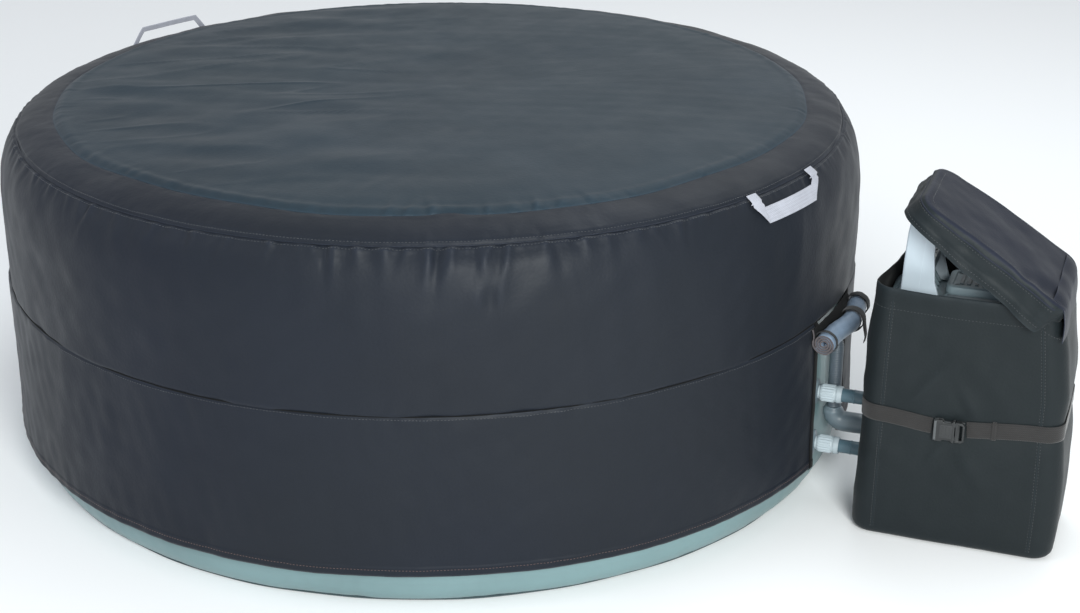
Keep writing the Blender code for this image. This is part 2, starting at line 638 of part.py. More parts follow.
# ---- the pump -----------------------------------------------------------------------------------
def make_pump_body():
    base = rounded_block("pump_base", inset_range(PUMP_X, -0.004), inset_range(PUMP_Y, -0.004), (0.014, 0.050),
                         0.040, "deck")
    for name, x, y in (("a", PUMP_X[0] + 0.05, PUMP_Y[0] + 0.05), ("b", PUMP_X[1] - 0.05, PUMP_Y[0] + 0.05),
                       ("c", PUMP_X[0] + 0.05, PUMP_Y[1] - 0.05), ("d", PUMP_X[1] - 0.05, PUMP_Y[1] - 0.05)):
        cut(base, rod(f"foot_{name}", (x, y, BAG_SKIN + GAP), (0, 0, 1), 0.020, 0.020, "deck", 12), "UNION")

    outer = rounded_outline(PUMP_X, PUMP_Y, 0.036)
    inner = rounded_outline(inset_range(PUMP_X, PUMP_WALL), inset_range(PUMP_Y, PUMP_WALL), 0.036 - PUMP_WALL)
    low, high = HOUSING_Z
    housing = stacked("pump_housing", [(outer, low), (outer, high), (inner, high), (inner, low)], "shell",
                      capped=False)
    for name, y, z, radius in (("upper", WATER_Y, UPPER_Z, PIPE_RADIUS), ("lower", WATER_Y, LOWER_Z, PIPE_RADIUS),
                               ("air", AIR_Y, AIR_LOW_Z, ELBOW_RADIUS)):
        cut(housing, rod(f"cut_port_{name}", (PUMP_X[0] - 0.02, y, z), (1, 0, 0), radius + 0.0008, 0.06, "shell"))
    rounded_block("pump_deck", PUMP_X, PUMP_Y, DECK_Z, 0.036, "deck")
    rounded_block("service_cover", (1.215, 1.405), (-0.200, -0.092), (DECK_Z[1] + GAP, 0.542), 0.018, "deck")
    spun("cable_gland", [(0.005, 0), (0.011, 0), (0.009, 0.012), (0.005, 0.012)], "rubber",
         (1.400, PUMP_Y[1] + GAP, 0.100), (0, 1, 0), 14)


def hood_face_x(z):
    """x of the hood's inner face at a height: it leans over as it rises."""
    return 1.172 + (z - DECK_Z[1]) * 0.06


def make_hood():
    foot = DECK_Z[1] + GAP
    outline = [(1.131, foot), (1.138, 0.660), (1.145, 0.705), (1.156, 0.7370), (1.172, 0.7555), (1.1835, 0.7470),
               (hood_face_x(0.720), 0.720), (hood_face_x(foot), foot)]
    extruded("pump_hood", outline, HOOD_Y[0], HOOD_Y[1], "shell")

    low, high, thickness = 0.560, 0.700, 0.014
    outline = [(hood_face_x(low) + GAP, low), (hood_face_x(high) + GAP, high),
               (hood_face_x(high - 0.008) + thickness, high - 0.008),
               (hood_face_x(low + 0.004) + thickness, low + 0.004)]
    panel = extruded("control_panel", outline, HOOD_Y[0] + 0.012, HOOD_Y[1] - 0.012, "deck")
    outward = Vector((1, 0, -0.06)).normalized()

    def on_face(y, z):
        return Vector((hood_face_x(z) + thickness, y, z))

    middle = (HOOD_Y[0] + HOOD_Y[1]) / 2
    window = box("display_window", (0.0006, middle - 0.036, -0.016), (0.0026, middle + 0.036, 0.016), "glass")
    window.data.transform(Matrix.Translation((0, -middle, 0)))
    window.data.transform(Matrix.Translation(on_face(middle, 0.665)) @ Matrix.Rotation(0.06, 4, "Y"))
    names = ("button_power", "button_filter", "button_heater", "button_bubbles", "button_up", "button_down")
    for i, name in enumerate(names):
        y = middle + (i - 2.5) * 0.020
        centre = on_face(y, 0.610)
        cut(panel, rod(f"cut_{name}", centre - outward * 0.007, outward, 0.0086, 0.03, "deck", 16))
        button = rod(name, centre - outward * 0.0052, outward, 0.0082, 0.0080, "white_plastic", 16)
        set_origin(button, centre)


def make_pump_inside():
    """Filter pump, heater, air blower and circuit board inside the housing."""
    x, y = 1.235, -0.200
    volute_low = 0.0655
    spun("pump_volute", [(0, 0), (0.052, 0), (0.052, 0.045), (0.047, 0.045), (0.047, 0.004), (0, 0.004)],
         "deck", (x, y, volute_low), (0, 0, 1), 20)
    impeller = spun("pump_impeller", [(0, 0), (0.040, 0), (0.040, 0.016), (0.010, 0.024), (0, 0.024)], "white_plastic",
                    (x, y, volute_low + 0.012), (0, 0, 1), 16)
    set_origin(impeller, (x, y, volute_low + 0.012))
    spun("pump_motor", [(0, 0), (0.052, 0), (0.052, 0.006), (0.038, 0.010), (0.038, 0.110), (0, 0.110)], "motor",
         (x, y, volute_low + 0.0453), (0, 0, 1), 20)
    hollow_tube("heater_tube", [(1.160, -0.230, 0.330), (1.390, -0.230, 0.330)], 0.026, 0.023, "steel", 16)

    x, y = 1.350, -0.140
    spun("blower_housing", [(0, 0), (0.058, 0), (0.058, 0.080), (0.054, 0.080), (0.054, 0.004), (0, 0.004)],
         "hose", (x, y, 0.110), (0, 0, 1), 20)
    fan = spun("blower_fan", [(0, 0), (0.048, 0), (0.048, 0.030), (0.014, 0.030), (0.014, 0.050), (0, 0.050)],
               "white_plastic", (x, y, 0.120), (0, 0, 1), 20)
    set_origin(fan, (x, y, 0.120))
    box("circuit_board", (1.180, -0.185, 0.420), (1.360, -0.095, 0.4216), "board")


def main():
    clear_scene()
    make_tub()
    make_fittings()
    make_lid()
    make_jacket()
    make_handle("handle_front", HANDLE_FRONT_AZIMUTH, HANDLE_HANGING)
    make_handle("handle_rear", HANDLE_REAR_AZIMUTH, HANDLE_STANDING)
    make_door_roll()
    make_pipes()
    make_bag()
    make_flap()
    make_strap()
    make_pump_body()
    make_hood()
    make_pump_inside()


main()
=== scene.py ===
"""Inflatable hot tub with its padded jacket and covered pump unit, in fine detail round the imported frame."""
from math import cos, exp, hypot, pi, radians, sin

import bmesh
import bpy
import numpy as np
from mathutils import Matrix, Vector


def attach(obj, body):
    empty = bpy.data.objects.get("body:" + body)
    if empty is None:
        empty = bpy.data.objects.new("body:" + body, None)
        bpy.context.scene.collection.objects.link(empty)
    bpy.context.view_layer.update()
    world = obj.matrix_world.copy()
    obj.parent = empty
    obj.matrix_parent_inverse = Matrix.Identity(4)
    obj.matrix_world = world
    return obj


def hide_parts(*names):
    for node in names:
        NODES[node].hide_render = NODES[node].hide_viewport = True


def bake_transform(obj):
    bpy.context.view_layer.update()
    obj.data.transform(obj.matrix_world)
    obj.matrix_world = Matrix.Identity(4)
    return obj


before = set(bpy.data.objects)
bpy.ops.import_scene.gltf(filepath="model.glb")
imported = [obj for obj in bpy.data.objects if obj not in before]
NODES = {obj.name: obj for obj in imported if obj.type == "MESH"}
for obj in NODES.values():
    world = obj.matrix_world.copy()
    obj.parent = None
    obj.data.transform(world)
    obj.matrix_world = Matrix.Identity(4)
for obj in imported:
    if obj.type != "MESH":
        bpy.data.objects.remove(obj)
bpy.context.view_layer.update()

TAU = 2 * pi


# ---- camera, floor and light --------------------------------------------------------------------
def make_camera():
    camera = bpy.data.objects.new("camera", bpy.data.cameras.new("camera"))
    bpy.context.scene.collection.objects.link(camera)
    camera.data.lens = 61.67
    camera.data.sensor_width = 36.0
    camera.data.clip_end = 60.0
    camera.location = (1.639, -3.788, 1.961)
    camera.rotation_euler = (radians(90 - 22.62), 0.0, radians(20.0))
    bpy.context.scene.camera = camera


def area_light(name, place, target, size, power, rgb):
    data = bpy.data.lights.new(name, "AREA")
    data.shape = "DISK"
    data.size = size
    data.energy = power
    data.color = rgb
    light = bpy.data.objects.new(name, data)
    bpy.context.scene.collection.objects.link(light)
    light.location = place
    light.rotation_euler = (Vector(target) - Vector(place)).to_track_quat("-Z", "Y").to_euler()


def make_studio():
    scene = bpy.context.scene
    scene.view_settings.view_transform = "Standard"
    world = bpy.data.worlds.new("studio")
    world.use_nodes = True
    background = world.node_tree.nodes["Background"]
    background.inputs["Color"].default_value = (0.93, 0.965, 1.0, 1.0)
    background.inputs["Strength"].default_value = 0.70
    scene.world = world
    area_light("key", (-3.2, -3.4, 3.8), (0.0, 0.0, 0.4), 2.6, 55, (0.84, 0.91, 1.0))
    area_light("fill", (2.9, -4.2, 2.3), (0.5, 0.0, 0.4), 1.8, 250, (0.97, 1.0, 0.98))
    area_light("over", (0.9, 2.0, 4.2), (0.2, 0.0, 0.7), 2.6, 55, (0.93, 0.98, 1.0))

    mesh = bpy.data.meshes.new("floor")
    mesh.from_pydata([(-30, -30, 0), (30, -30, 0), (30, 30, 0), (-30, 30, 0)], [], [(0, 1, 2, 3)])
    floor = bpy.data.objects.new("floor", mesh)
    scene.collection.objects.link(floor)
    paper = bpy.data.materials.new("floor_paper")
    paper.use_nodes = True
    shader = paper.node_tree.nodes["Principled BSDF"]
    shader.inputs["Base Color"].default_value = (0.93, 0.935, 0.94, 1.0)
    shader.inputs["Roughness"].default_value = 0.9
    shader.inputs["Specular IOR Level"].default_value = 0.1
    mesh.materials.append(paper)


# ---- materials ----------------------------------------------------------------------------------
class Graph:
    """A material's node tree, with one short call for each node."""

    def __init__(self, name):
        self.material = bpy.data.materials.new(name)
        self.material.use_nodes = True
        self.tree = self.material.node_tree
        self.shader = self.tree.nodes["Principled BSDF"]

    def node(self, kind, **settings):
        made = self.tree.nodes.new(kind)
        for key, value in settings.items():
            setattr(made, key, value)
        return made

    def link(self, source, target):
        self.tree.links.new(source, target)

    def put(self, socket, value):
        if isinstance(value, bpy.types.NodeSocket):
            self.link(value, socket)
        else:
            socket.default_value = value

    def place(self, uv=None):
        if uv:
            return self.node("ShaderNodeUVMap", uv_map=uv).outputs["UV"]
        return self.node("ShaderNodeTexCoord").outputs["Object"]

    def noise(self, where, scale, detail=3.0, rough=0.55, distortion=0.0):
        made = self.node("ShaderNodeTexNoise")
        self.link(where, made.inputs["Vector"])
        made.inputs["Scale"].default_value = scale
        made.inputs["Detail"].default_value = detail
        made.inputs["Roughness"].default_value = rough
        made.inputs["Distortion"].default_value = distortion
        return made.outputs["Fac"]

    def cells(self, where, scale, feature="SMOOTH_F1"):
        made = self.node("ShaderNodeTexVoronoi", feature=feature)
        self.link(where, made.inputs["Vector"])
        made.inputs["Scale"].default_value = scale
        return made.outputs["Distance"]

    def stretched(self, where, factors):
        made = self.node("ShaderNodeMapping")
        self.link(where, made.inputs["Vector"])
        made.inputs["Scale"].default_value = factors
        return made.outputs["Vector"]

    def ramp(self, value, low, high, out_low=0.0, out_high=1.0):
        made = self.node("ShaderNodeMapRange")
        self.put(made.inputs["Value"], value)
        for socket, number in zip(("From Min", "From Max", "To Min", "To Max"),
                                  (low, high, out_low, out_high)):
            made.inputs[socket].default_value = number
        return made.outputs["Result"]

    def maths(self, operation, a, b=0.0):
        made = self.node("ShaderNodeMath", operation=operation)
        self.put(made.inputs[0], a)
        self.put(made.inputs[1], b)
        return made.outputs[0]

    def mix(self, share, a, b, blend="MIX"):
        made = self.node("ShaderNodeMix", data_type="RGBA", blend_type=blend)
        self.put(made.inputs[0], share)
        for socket, value in ((made.inputs[6], a), (made.inputs[7], b)):
            self.put(socket, value if isinstance(value, bpy.types.NodeSocket) else (*value, 1.0))
        return made.outputs[2]

    def bump(self, height, depth, strength=1.0, base=None):
        made = self.node("ShaderNodeBump")
        self.link(height, made.inputs["Height"])
        made.inputs["Distance"].default_value = depth
        made.inputs["Strength"].default_value = strength
        if base is not None:
            self.link(base, made.inputs["Normal"])
        return made.outputs["Normal"]

    def edges(self, low=0.505, high=0.56):
        return self.ramp(self.node("ShaderNodeNewGeometry").outputs["Pointiness"], low, high)

    def finish(self, colour, roughness, normal=None, **constants):
        self.put(self.shader.inputs["Base Color"], colour)
        self.put(self.shader.inputs["Roughness"], roughness)
        if normal is not None:
            self.link(normal, self.shader.inputs["Normal"])
        for key, value in constants.items():
            self.shader.inputs[key.replace("_", " ")].default_value = value
        return self.material


def tones(rgb, spread):
    """A darker and a lighter tone round a colour."""
    return tuple(c * (1 - spread) for c in rgb), tuple(c * (1 + spread) for c in rgb)


def coated_cloth(name, rgb, rough=0.58, grain=150.0, grain_depth=0.00035, sheen=0.04, tint=None):
    """Coated polyester with a leather-like emboss, faint blotches and paler rubbed edges."""
    g = Graph(name)
    where = g.place()
    low, high = tones(rgb, 0.13)
    blotch = g.ramp(g.noise(where, 2.6, 4.0), 0.32, 0.68)
    colour = g.mix(blotch, low, high)
    if tint:
        colour = g.mix(g.ramp(g.noise(where, 0.9, 2.0), 0.35, 0.65, 0.0, 0.55), colour, tint)
    weave = g.noise(g.stretched(where, (1.0, 1.0, 1.0)), 520.0, 2.0)
    colour = g.mix(g.ramp(weave, 0.35, 0.65, 0.0, 0.16), colour, tuple(c * 1.9 for c in rgb))
    colour = g.mix(g.maths("MULTIPLY", g.edges(), 0.30), colour, tuple(min(1.0, c * 2.4) for c in rgb))
    emboss = g.cells(where, grain)
    fine = g.noise(where, grain * 4.5, 3.0)
    normal = g.bump(emboss, grain_depth, 0.8)
    normal = g.bump(fine, grain_depth * 0.35, 0.7, normal)
    gloss = g.ramp(g.noise(where, 9.0, 3.0), 0.3, 0.7, rough - 0.06, rough + 0.07)
    return g.finish(colour, gloss, normal, Sheen_Weight=sheen, Sheen_Roughness=0.45, Specular_IOR_Level=0.17)


def vinyl(name, rgb, rough=0.36, coat=0.15):
    """Welded PVC sheet: even colour with soft blotches and a faint rolled grain."""
    g = Graph(name)
    where = g.place()
    low, high = tones(rgb, 0.08)
    colour = g.mix(g.ramp(g.noise(where, 3.5, 4.0), 0.35, 0.65), low, high)
    colour = g.mix(g.maths("MULTIPLY", g.edges(), 0.25), colour, tuple(min(1.0, c * 1.35) for c in rgb))
    normal = g.bump(g.noise(where, 480.0, 2.0), 0.00012, 0.6)
    normal = g.bump(g.noise(where, 22.0, 2.0), 0.0012, 0.35, normal)
    gloss = g.ramp(g.noise(where, 14.0, 4.0), 0.3, 0.7, rough - 0.05, rough + 0.08)
    return g.finish(colour, gloss, normal, Coat_Weight=coat, Coat_Roughness=0.25)


def webbing(name, rgb, pitch=0.0024, rough=0.86, spread=0.35):
    """Woven tape. Its map runs in metres: u across the tape and v along it."""
    g = Graph(name)
    where = g.place("cloth")
    low, high = tones(rgb, spread)
    ribs = g.node("ShaderNodeTexWave", wave_type="BANDS", bands_direction="DIAGONAL", wave_profile="SIN")
    g.link(g.stretched(where, (1.0, 1.0, 1.0)), ribs.inputs["Vector"])
    ribs.inputs["Scale"].default_value = 0.32 / pitch
    ribs.inputs["Distortion"].default_value = 0.6
    cords = g.node("ShaderNodeTexWave", wave_type="BANDS", bands_direction="X", wave_profile="SIN")
    g.link(where, cords.inputs["Vector"])
    cords.inputs["Scale"].default_value = 0.16 / pitch
    height = g.maths("ADD", g.maths("MULTIPLY", ribs.outputs["Fac"], 0.6),
                     g.maths("MULTIPLY", cords.outputs["Fac"], 0.4))
    colour = g.mix(height, low, high)
    dust = g.ramp(g.noise(g.place(), 34.0, 4.0), 0.4, 0.7, 0.0, 0.25)
    colour = g.mix(dust, colour, tuple(min(1.0, c * 1.5 + 0.01) for c in rgb))
    normal = g.bump(height, 0.0004, 0.9)
    return g.finish(colour, g.ramp(height, 0.0, 1.0, rough + 0.06, rough - 0.06), normal, Sheen_Weight=0.2,
                    Sheen_Roughness=0.5)


def plastic(name, rgb, rough=0.42, grain=900.0, depth=0.00006, wear=0.35, spread=0.05):
    """Moulded plastic: spark-eroded grain, slightly uneven gloss, and paler rubbed edges."""
    g = Graph(name)
    where = g.place()
    low, high = tones(rgb, spread)
    colour = g.mix(g.ramp(g.noise(where, 12.0, 4.0), 0.35, 0.65), low, high)
    colour = g.mix(g.maths("MULTIPLY", g.edges(), wear), colour, tuple(min(1.0, c * 1.5 + 0.02) for c in rgb))
    normal = g.bump(g.noise(where, grain, 2.0), depth, 0.6)
    gloss = g.ramp(g.noise(where, 40.0, 4.0), 0.3, 0.7, rough - 0.06, rough + 0.08)
    return g.finish(colour, gloss, normal)


def metal(name, rgb, rough=0.3):
    """Turned or drawn metal with fine lines round it."""
    g = Graph(name)
    where = g.place()
    low, high = tones(rgb, 0.10)
    lines = g.noise(g.stretched(where, (4.0, 4.0, 260.0)), 6.0, 3.0)
    colour = g.mix(lines, low, high)
    gloss = g.ramp(lines, 0.3, 0.7, rough - 0.08, rough + 0.12)
    return g.finish(colour, gloss, g.bump(lines, 0.00005, 0.5), Metallic=1.0)


def thread(name, rgb):
    g = Graph(name)
    where = g.place()
    low, high = tones(rgb, 0.3)
    twist = g.noise(where, 1500.0, 1.0)
    return g.finish(g.mix(twist, low, high), 0.75, g.bump(twist, 0.0001, 0.6), Sheen_Weight=0.3)


def pleats(name, rgb):
    """Filter paper for a cartridge pleated round a vertical or level core: fine fibres mottle its colour and
    its surface.
    """
    g = Graph(name)
    where = g.place()
    low, high = tones(rgb, 0.10)
    fibres = g.noise(where, 160.0, 5.0)
    return g.finish(g.mix(fibres, low, high), 0.9, g.bump(fibres, 0.0002, 0.6))


def make_materials():
    m = {}
    m["jacket"] = coated_cloth("jacket_cloth", (0.0078, 0.0106, 0.0180), rough=0.52,
                               tint=(0.0105, 0.0128, 0.0145))
    m["top"] = coated_cloth("jacket_top_cloth", (0.0140, 0.0245, 0.0350), rough=0.56,
                            tint=(0.0140, 0.0270, 0.0360))
    m["bag"] = coated_cloth("bag_cloth", (0.0084, 0.0120, 0.0145), rough=0.54, grain=210.0,
                            tint=(0.0098, 0.0135, 0.0145))
    m["flap"] = coated_cloth("flap_cloth", (0.0095, 0.0120, 0.0210), rough=0.54, grain=210.0)
    m["lining"] = coated_cloth("door_lining_cloth", (0.160, 0.215, 0.290), rough=0.34, grain=320.0,
                               grain_depth=0.0001, sheen=0.05)
    m["dark_lining"] = coated_cloth("dark_lining_cloth", (0.0030, 0.0032, 0.0035), rough=0.85, grain=420.0,
                                    grain_depth=0.0001, sheen=0.03)
    m["foam"] = coated_cloth("foam_core", (0.062, 0.055, 0.058), rough=0.85, grain=600.0, grain_depth=0.0003)
    m["binding"] = webbing("binding_tape", (0.0045, 0.0045, 0.0050), pitch=0.0016, rough=0.9)
    m["tub"] = vinyl("tub_vinyl", (0.140, 0.225, 0.236))
    m["bath"] = vinyl("floor_vinyl", (0.330, 0.460, 0.480))
    m["lid"] = vinyl("lid_vinyl", (0.300, 0.420, 0.440))
    m["mat"] = coated_cloth("ground_mat_foam", (0.045, 0.064, 0.070), rough=0.9, grain=90.0,
                            grain_depth=0.001)
    m["handle"] = webbing("handle_webbing", (0.33, 0.34, 0.39), pitch=0.0030, spread=0.12)
    m["strap"] = webbing("strap_webbing", (0.0110, 0.0100, 0.0100), pitch=0.0024)
    m["tie"] = webbing("tie_webbing", (0.020, 0.020, 0.022), pitch=0.0020)
    m["buckle"] = plastic("buckle_plastic", (0.0085, 0.0098, 0.0108), rough=0.42, wear=0.5)
    # paler copy of the buckle's plastic: painted highlight for the socket's bar and lip and the prongs, where
    # they catch the light
    m["buckle_light"] = plastic("buckle_plastic_painted_highlight", (0.045, 0.050, 0.053), rough=0.34, wear=0.8)
    m["nut"] = plastic("nut_plastic", (0.42, 0.49, 0.53), rough=0.38)
    m["pipe"] = plastic("pipe_plastic", (0.085, 0.155, 0.195), rough=0.36)
    m["hose"] = plastic("hose_plastic", (0.095, 0.120, 0.145), rough=0.42)
    m["elbow"] = plastic("elbow_plastic", (0.150, 0.195, 0.225), rough=0.34)
    m["shell"] = plastic("shell_plastic", (0.390, 0.450, 0.500), rough=0.36)
    m["deck"] = plastic("deck_plastic", (0.150, 0.200, 0.225), rough=0.46)
    m["panel"] = plastic("panel_plastic", (0.070, 0.095, 0.110), rough=0.40)
    m["glass"] = plastic("display_window", (0.010, 0.014, 0.017), rough=0.10, depth=0.00001, wear=0.1)
    m["white"] = plastic("white_plastic", (0.74, 0.76, 0.77), rough=0.38)
    m["rubber"] = plastic("rubber", (0.020, 0.021, 0.023), rough=0.68, grain=600.0, depth=0.0001)
    m["filter"] = pleats("filter_paper", (0.78, 0.80, 0.78))
    m["motor"] = metal("motor_metal", (0.36, 0.37, 0.38), 0.38)
    m["steel"] = metal("heater_steel", (0.58, 0.59, 0.60), 0.25)
    m["board"] = plastic("board_laminate", (0.020, 0.130, 0.055), rough=0.35)
    m["thread"] = thread("dark_thread", (0.022, 0.025, 0.029))
    m["red_thread"] = thread("brown_thread", (0.105, 0.056, 0.048))
    m["pale_thread"] = thread("pale_thread", (0.40, 0.41, 0.45))
    return m


# ---- mesh tools ---------------------------------------------------------------------------------
def smooth_line(points, per_span=12):
    """A smooth curve through points, with per_span samples on each span."""
    p = np.asarray(points, float)
    t = lengths_along(p)
    slope = np.gradient(p, t, axis=0)
    u = np.linspace(0, 1, per_span, endpoint=False)[:, None]
    parts = []
    for k in range(len(p) - 1):
        h = t[k + 1] - t[k]
        parts.append((2 * u ** 3 - 3 * u ** 2 + 1) * p[k] + (u ** 3 - 2 * u ** 2 + u) * h * slope[k]
                     + (3 * u ** 2 - 2 * u ** 3) * p[k + 1] + (u ** 3 - u ** 2) * h * slope[k + 1])
    return np.vstack(parts + [p[-1:]])


def lengths_along(points):
    return np.concatenate([[0.0], np.cumsum(np.linalg.norm(np.diff(points, axis=0), axis=1))])


def resample(points, at):
    """Points at the given distances along a line of points."""
    s = lengths_along(points)
    return np.stack([np.interp(at, s, points[:, k]) for k in range(points.shape[1])], -1)


def build(name, vertices, faces, material, body, uv=None, sharp=40, slots=None):
    """A mesh object from arrays, facing outwards and riding on a body. uv has a pair for each corner."""
    vertices = np.asarray(vertices, float)
    mesh = bpy.data.meshes.new(name)
    faces = [list(map(int, f)) for f in faces]
    if signed_volume(vertices, faces) < 0:
        order = [np.arange(len(f))[::-1] for f in faces]
        if uv is not None:
            starts = np.cumsum([0] + [len(f) for f in faces[:-1]])
            uv = uv[np.concatenate([o + s for o, s in zip(order, starts)])]
        faces = [f[::-1] for f in faces]
    mesh.from_pydata(vertices.tolist(), [], faces)
    if uv is not None:
        layer = mesh.uv_layers.new(name="cloth")
        layer.data.foreach_set("uv", np.asarray(uv, np.float32).ravel())
    for item in (material if isinstance(material, list) else [material]):
        mesh.materials.append(item)
    if slots is not None:
        mesh.polygons.foreach_set("material_index", np.asarray(slots, np.int32))
    mesh.validate()
    mesh.shade_smooth()
    mesh.set_sharp_from_angle(angle=radians(sharp))
    obj = bpy.data.objects.new(name, mesh)
    bpy.context.scene.collection.objects.link(obj)
    if body:
        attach(obj, body)
    return obj


def signed_volume(v, faces):
    total = 0.0
    by_size = {}
    for f in faces:
        by_size.setdefault(len(f), []).append(f)
    for size, group in by_size.items():
        idx = np.array(group)
        for k in range(1, size - 1):
            a, b, c = v[idx[:, 0]], v[idx[:, k]], v[idx[:, k + 1]]
            total += np.einsum("ij,ij->", a, np.cross(b, c))
    return total


def grid_faces(rows, cols, wrap_rows, wrap_cols, start=0):
    i = np.arange(rows if wrap_rows else rows - 1)
    j = np.arange(cols if wrap_cols else cols - 1)
    i, j = (a.ravel() for a in np.meshgrid(i, j, indexing="ij"))
    i2, j2 = (i + 1) % rows, (j + 1) % cols
    return np.stack([i * cols + j, i * cols + j2, i2 * cols + j2, i2 * cols + j], -1) + start


def grid(name, points, material, body, wrap_rows=True, wrap_cols=True, poles=(), u=None, v=None, sharp=40,
         slot_of_row=None):
    """A closed skin over rows and columns of points. Open ends get a cap, and poles are centre points.

    u and v are a distance for each column and each row, in metres, with one more than the columns and rows.
    """
    rows, cols = points.shape[:2]
    faces = grid_faces(rows, cols, wrap_rows, wrap_cols)
    uv = None
    if u is not None:
        i = np.arange(rows if wrap_rows else rows - 1)
        j = np.arange(cols if wrap_cols else cols - 1)
        i, j = (a.ravel() for a in np.meshgrid(i, j, indexing="ij"))
        uu = np.stack([u[j], u[j + 1], u[j + 1], u[j]], -1).reshape(-1)
        vv = np.stack([v[i], v[i], v[i + 1], v[i + 1]], -1).reshape(-1)
        uv = np.stack([vv, uu], -1)
    slots = None
    if slot_of_row is not None:
        i = np.repeat(np.arange(rows if wrap_rows else rows - 1), cols if wrap_cols else cols - 1)
        slots = np.asarray(slot_of_row)[i]
    faces = faces.tolist()
    vertices = points.reshape(-1, 3)
    extra = []
    if not wrap_cols:
        extra += [[r * cols for r in range(rows)], [r * cols + cols - 1 for r in range(rows)][::-1]]
        if not wrap_rows:
            raise ValueError("a sheet that wraps neither way isn't closed")
    if not wrap_rows and not len(poles):
        extra += [list(range(cols))[::-1], list(range((rows - 1) * cols, rows * cols))]
    for which, pole in enumerate(poles):
        vertices = np.vstack([vertices, np.asarray(pole)[None]])
        top = len(vertices) - 1
        first = 0 if which == 0 else (rows - 1) * cols
        for j in range(cols):
            a, b = first + j, first + (j + 1) % cols
            extra.append([top, b, a] if which == 0 else [top, a, b])
    if uv is not None and extra:
        uv = np.vstack([uv, np.zeros((sum(len(f) for f in extra), 2))])
    if slots is not None and extra:
        slots = np.concatenate([slots, np.full(len(extra), slots[0])])
    return build(name, vertices, faces + extra, material, body, uv, sharp, slots)


def waves(points, length, seed, count=14, stretch=(1.0, 1.0, 1.0)):
    """Smooth random relief of about unit height: a sum of sine waves in seeded directions."""
    rng = np.random.default_rng(seed)
    p = points * np.asarray(stretch)
    total = np.zeros(points.shape[:-1])
    for _ in range(count):
        direction = rng.normal(size=3)
        direction /= np.linalg.norm(direction)
        turns = TAU / length * rng.uniform(0.65, 1.45)
        total += np.sin(p @ direction * turns + rng.uniform(0, TAU))
    return total / np.sqrt(count / 2)


def ridged(points, length, seed, stretch=(1.0, 1.0, 1.0), power=2.0):
    """Narrow ridges with broad valleys between them, from 0 to 1."""
    return np.clip(1 - np.abs(waves(points, length, seed, 10, stretch)) * 1.1, 0, 1) ** power


def bell(x, width):
    return np.exp(-(x / width) ** 2)


def ease(x):
    x = np.clip(x, 0, 1)
    return x * x * (3 - 2 * x)


def angle_gap(a, b):
    return (a - b + pi) % TAU - pi


def tube_along(name, points, radii, material, body, sides=20, hollow=None, sharp=40, twist=None):
    """A round skin that follows points, closed by a cap at each end, or by a bore of radius hollow."""
    p = np.asarray(points, float)
    tangent = np.gradient(p, axis=0)
    tangent /= np.linalg.norm(tangent, axis=1)[:, None]
    side = np.cross(tangent[0], (0, 0, 1.0))
    if np.linalg.norm(side) < 1e-3:
        side = np.array((0, 1.0, 0))
    frames = []
    for t in tangent:
        side = side - t * side.dot(t)
        side /= np.linalg.norm(side)
        frames.append((side.copy(), np.cross(t, side)))
    radii = np.broadcast_to(np.asarray(radii, float), (len(p),))
    around = np.arange(sides) / sides * TAU

    def rings(scale):
        out = []
        for c, (a, b), r in zip(p, frames, scale):
            shape = 1.0 if twist is None else twist(around)
            out.append(c + (a * (np.cos(around) * shape)[:, None] + b * (np.sin(around) * shape)[:,
                                                                                                 None]) * r)
        return out

    rows = rings(radii)
    if hollow:
        rows += rings(np.full(len(p), hollow))[::-1]
        return grid(name, np.array(rows), material, body, sharp=sharp)
    return grid(name, np.array(rows), material, body, wrap_rows=False, poles=(p[0], p[-1]), sharp=sharp)


def turned(name, section, material, body, origin=(0, 0, 0), axis=(0, 0, 1), cols=96, ripple=None, wrap=True,
           sharp=40):
    """Turn a closed section of (radius, height) about an axis.

    ripple(angle, radius, height) is added to the radius.
    """
    section = np.asarray(section, float)
    axis = Vector(axis).normalized()
    turn = np.array(Vector((0, 0, 1)).rotation_difference(axis).to_matrix())
    around = np.arange(cols) / cols * TAU
    r = np.repeat(section[:, :1], cols, 1)
    if ripple is not None:
        r = r + ripple(around[None, :], section[:, :1], section[:, 1:2])
    p = np.stack([r * np.cos(around), r * np.sin(around), np.repeat(section[:, 1:2], cols, 1)], -1)
    p = p @ turn.T + np.array(origin)
    poles = ()
    if not wrap:
        ends = np.array([[0, 0, section[0, 1]], [0, 0, section[-1, 1]]]) @ turn.T + np.array(origin)
        poles = (ends[0], ends[1])
    return grid(name, p, material, body, wrap_rows=wrap, poles=poles, sharp=sharp)


def round_section(points, radius=0.0006, steps=3):
    """A closed section with each corner rounded by a small radius."""
    p = np.asarray(points, float)
    out = []
    for before, here, after in zip(np.roll(p, 1, 0), p, np.roll(p, -1, 0)):
        a, b = before - here, after - here
        la, lb = np.linalg.norm(a), np.linalg.norm(b)
        cut = min(radius, 0.45 * la, 0.45 * lb)
        start, end = here + a / la * cut, here + b / lb * cut
        for t in np.linspace(0, 1, steps + 1):
            out.append((1 - t) ** 2 * start + 2 * t * (1 - t) * here + t ** 2 * end)
    return np.array(out)


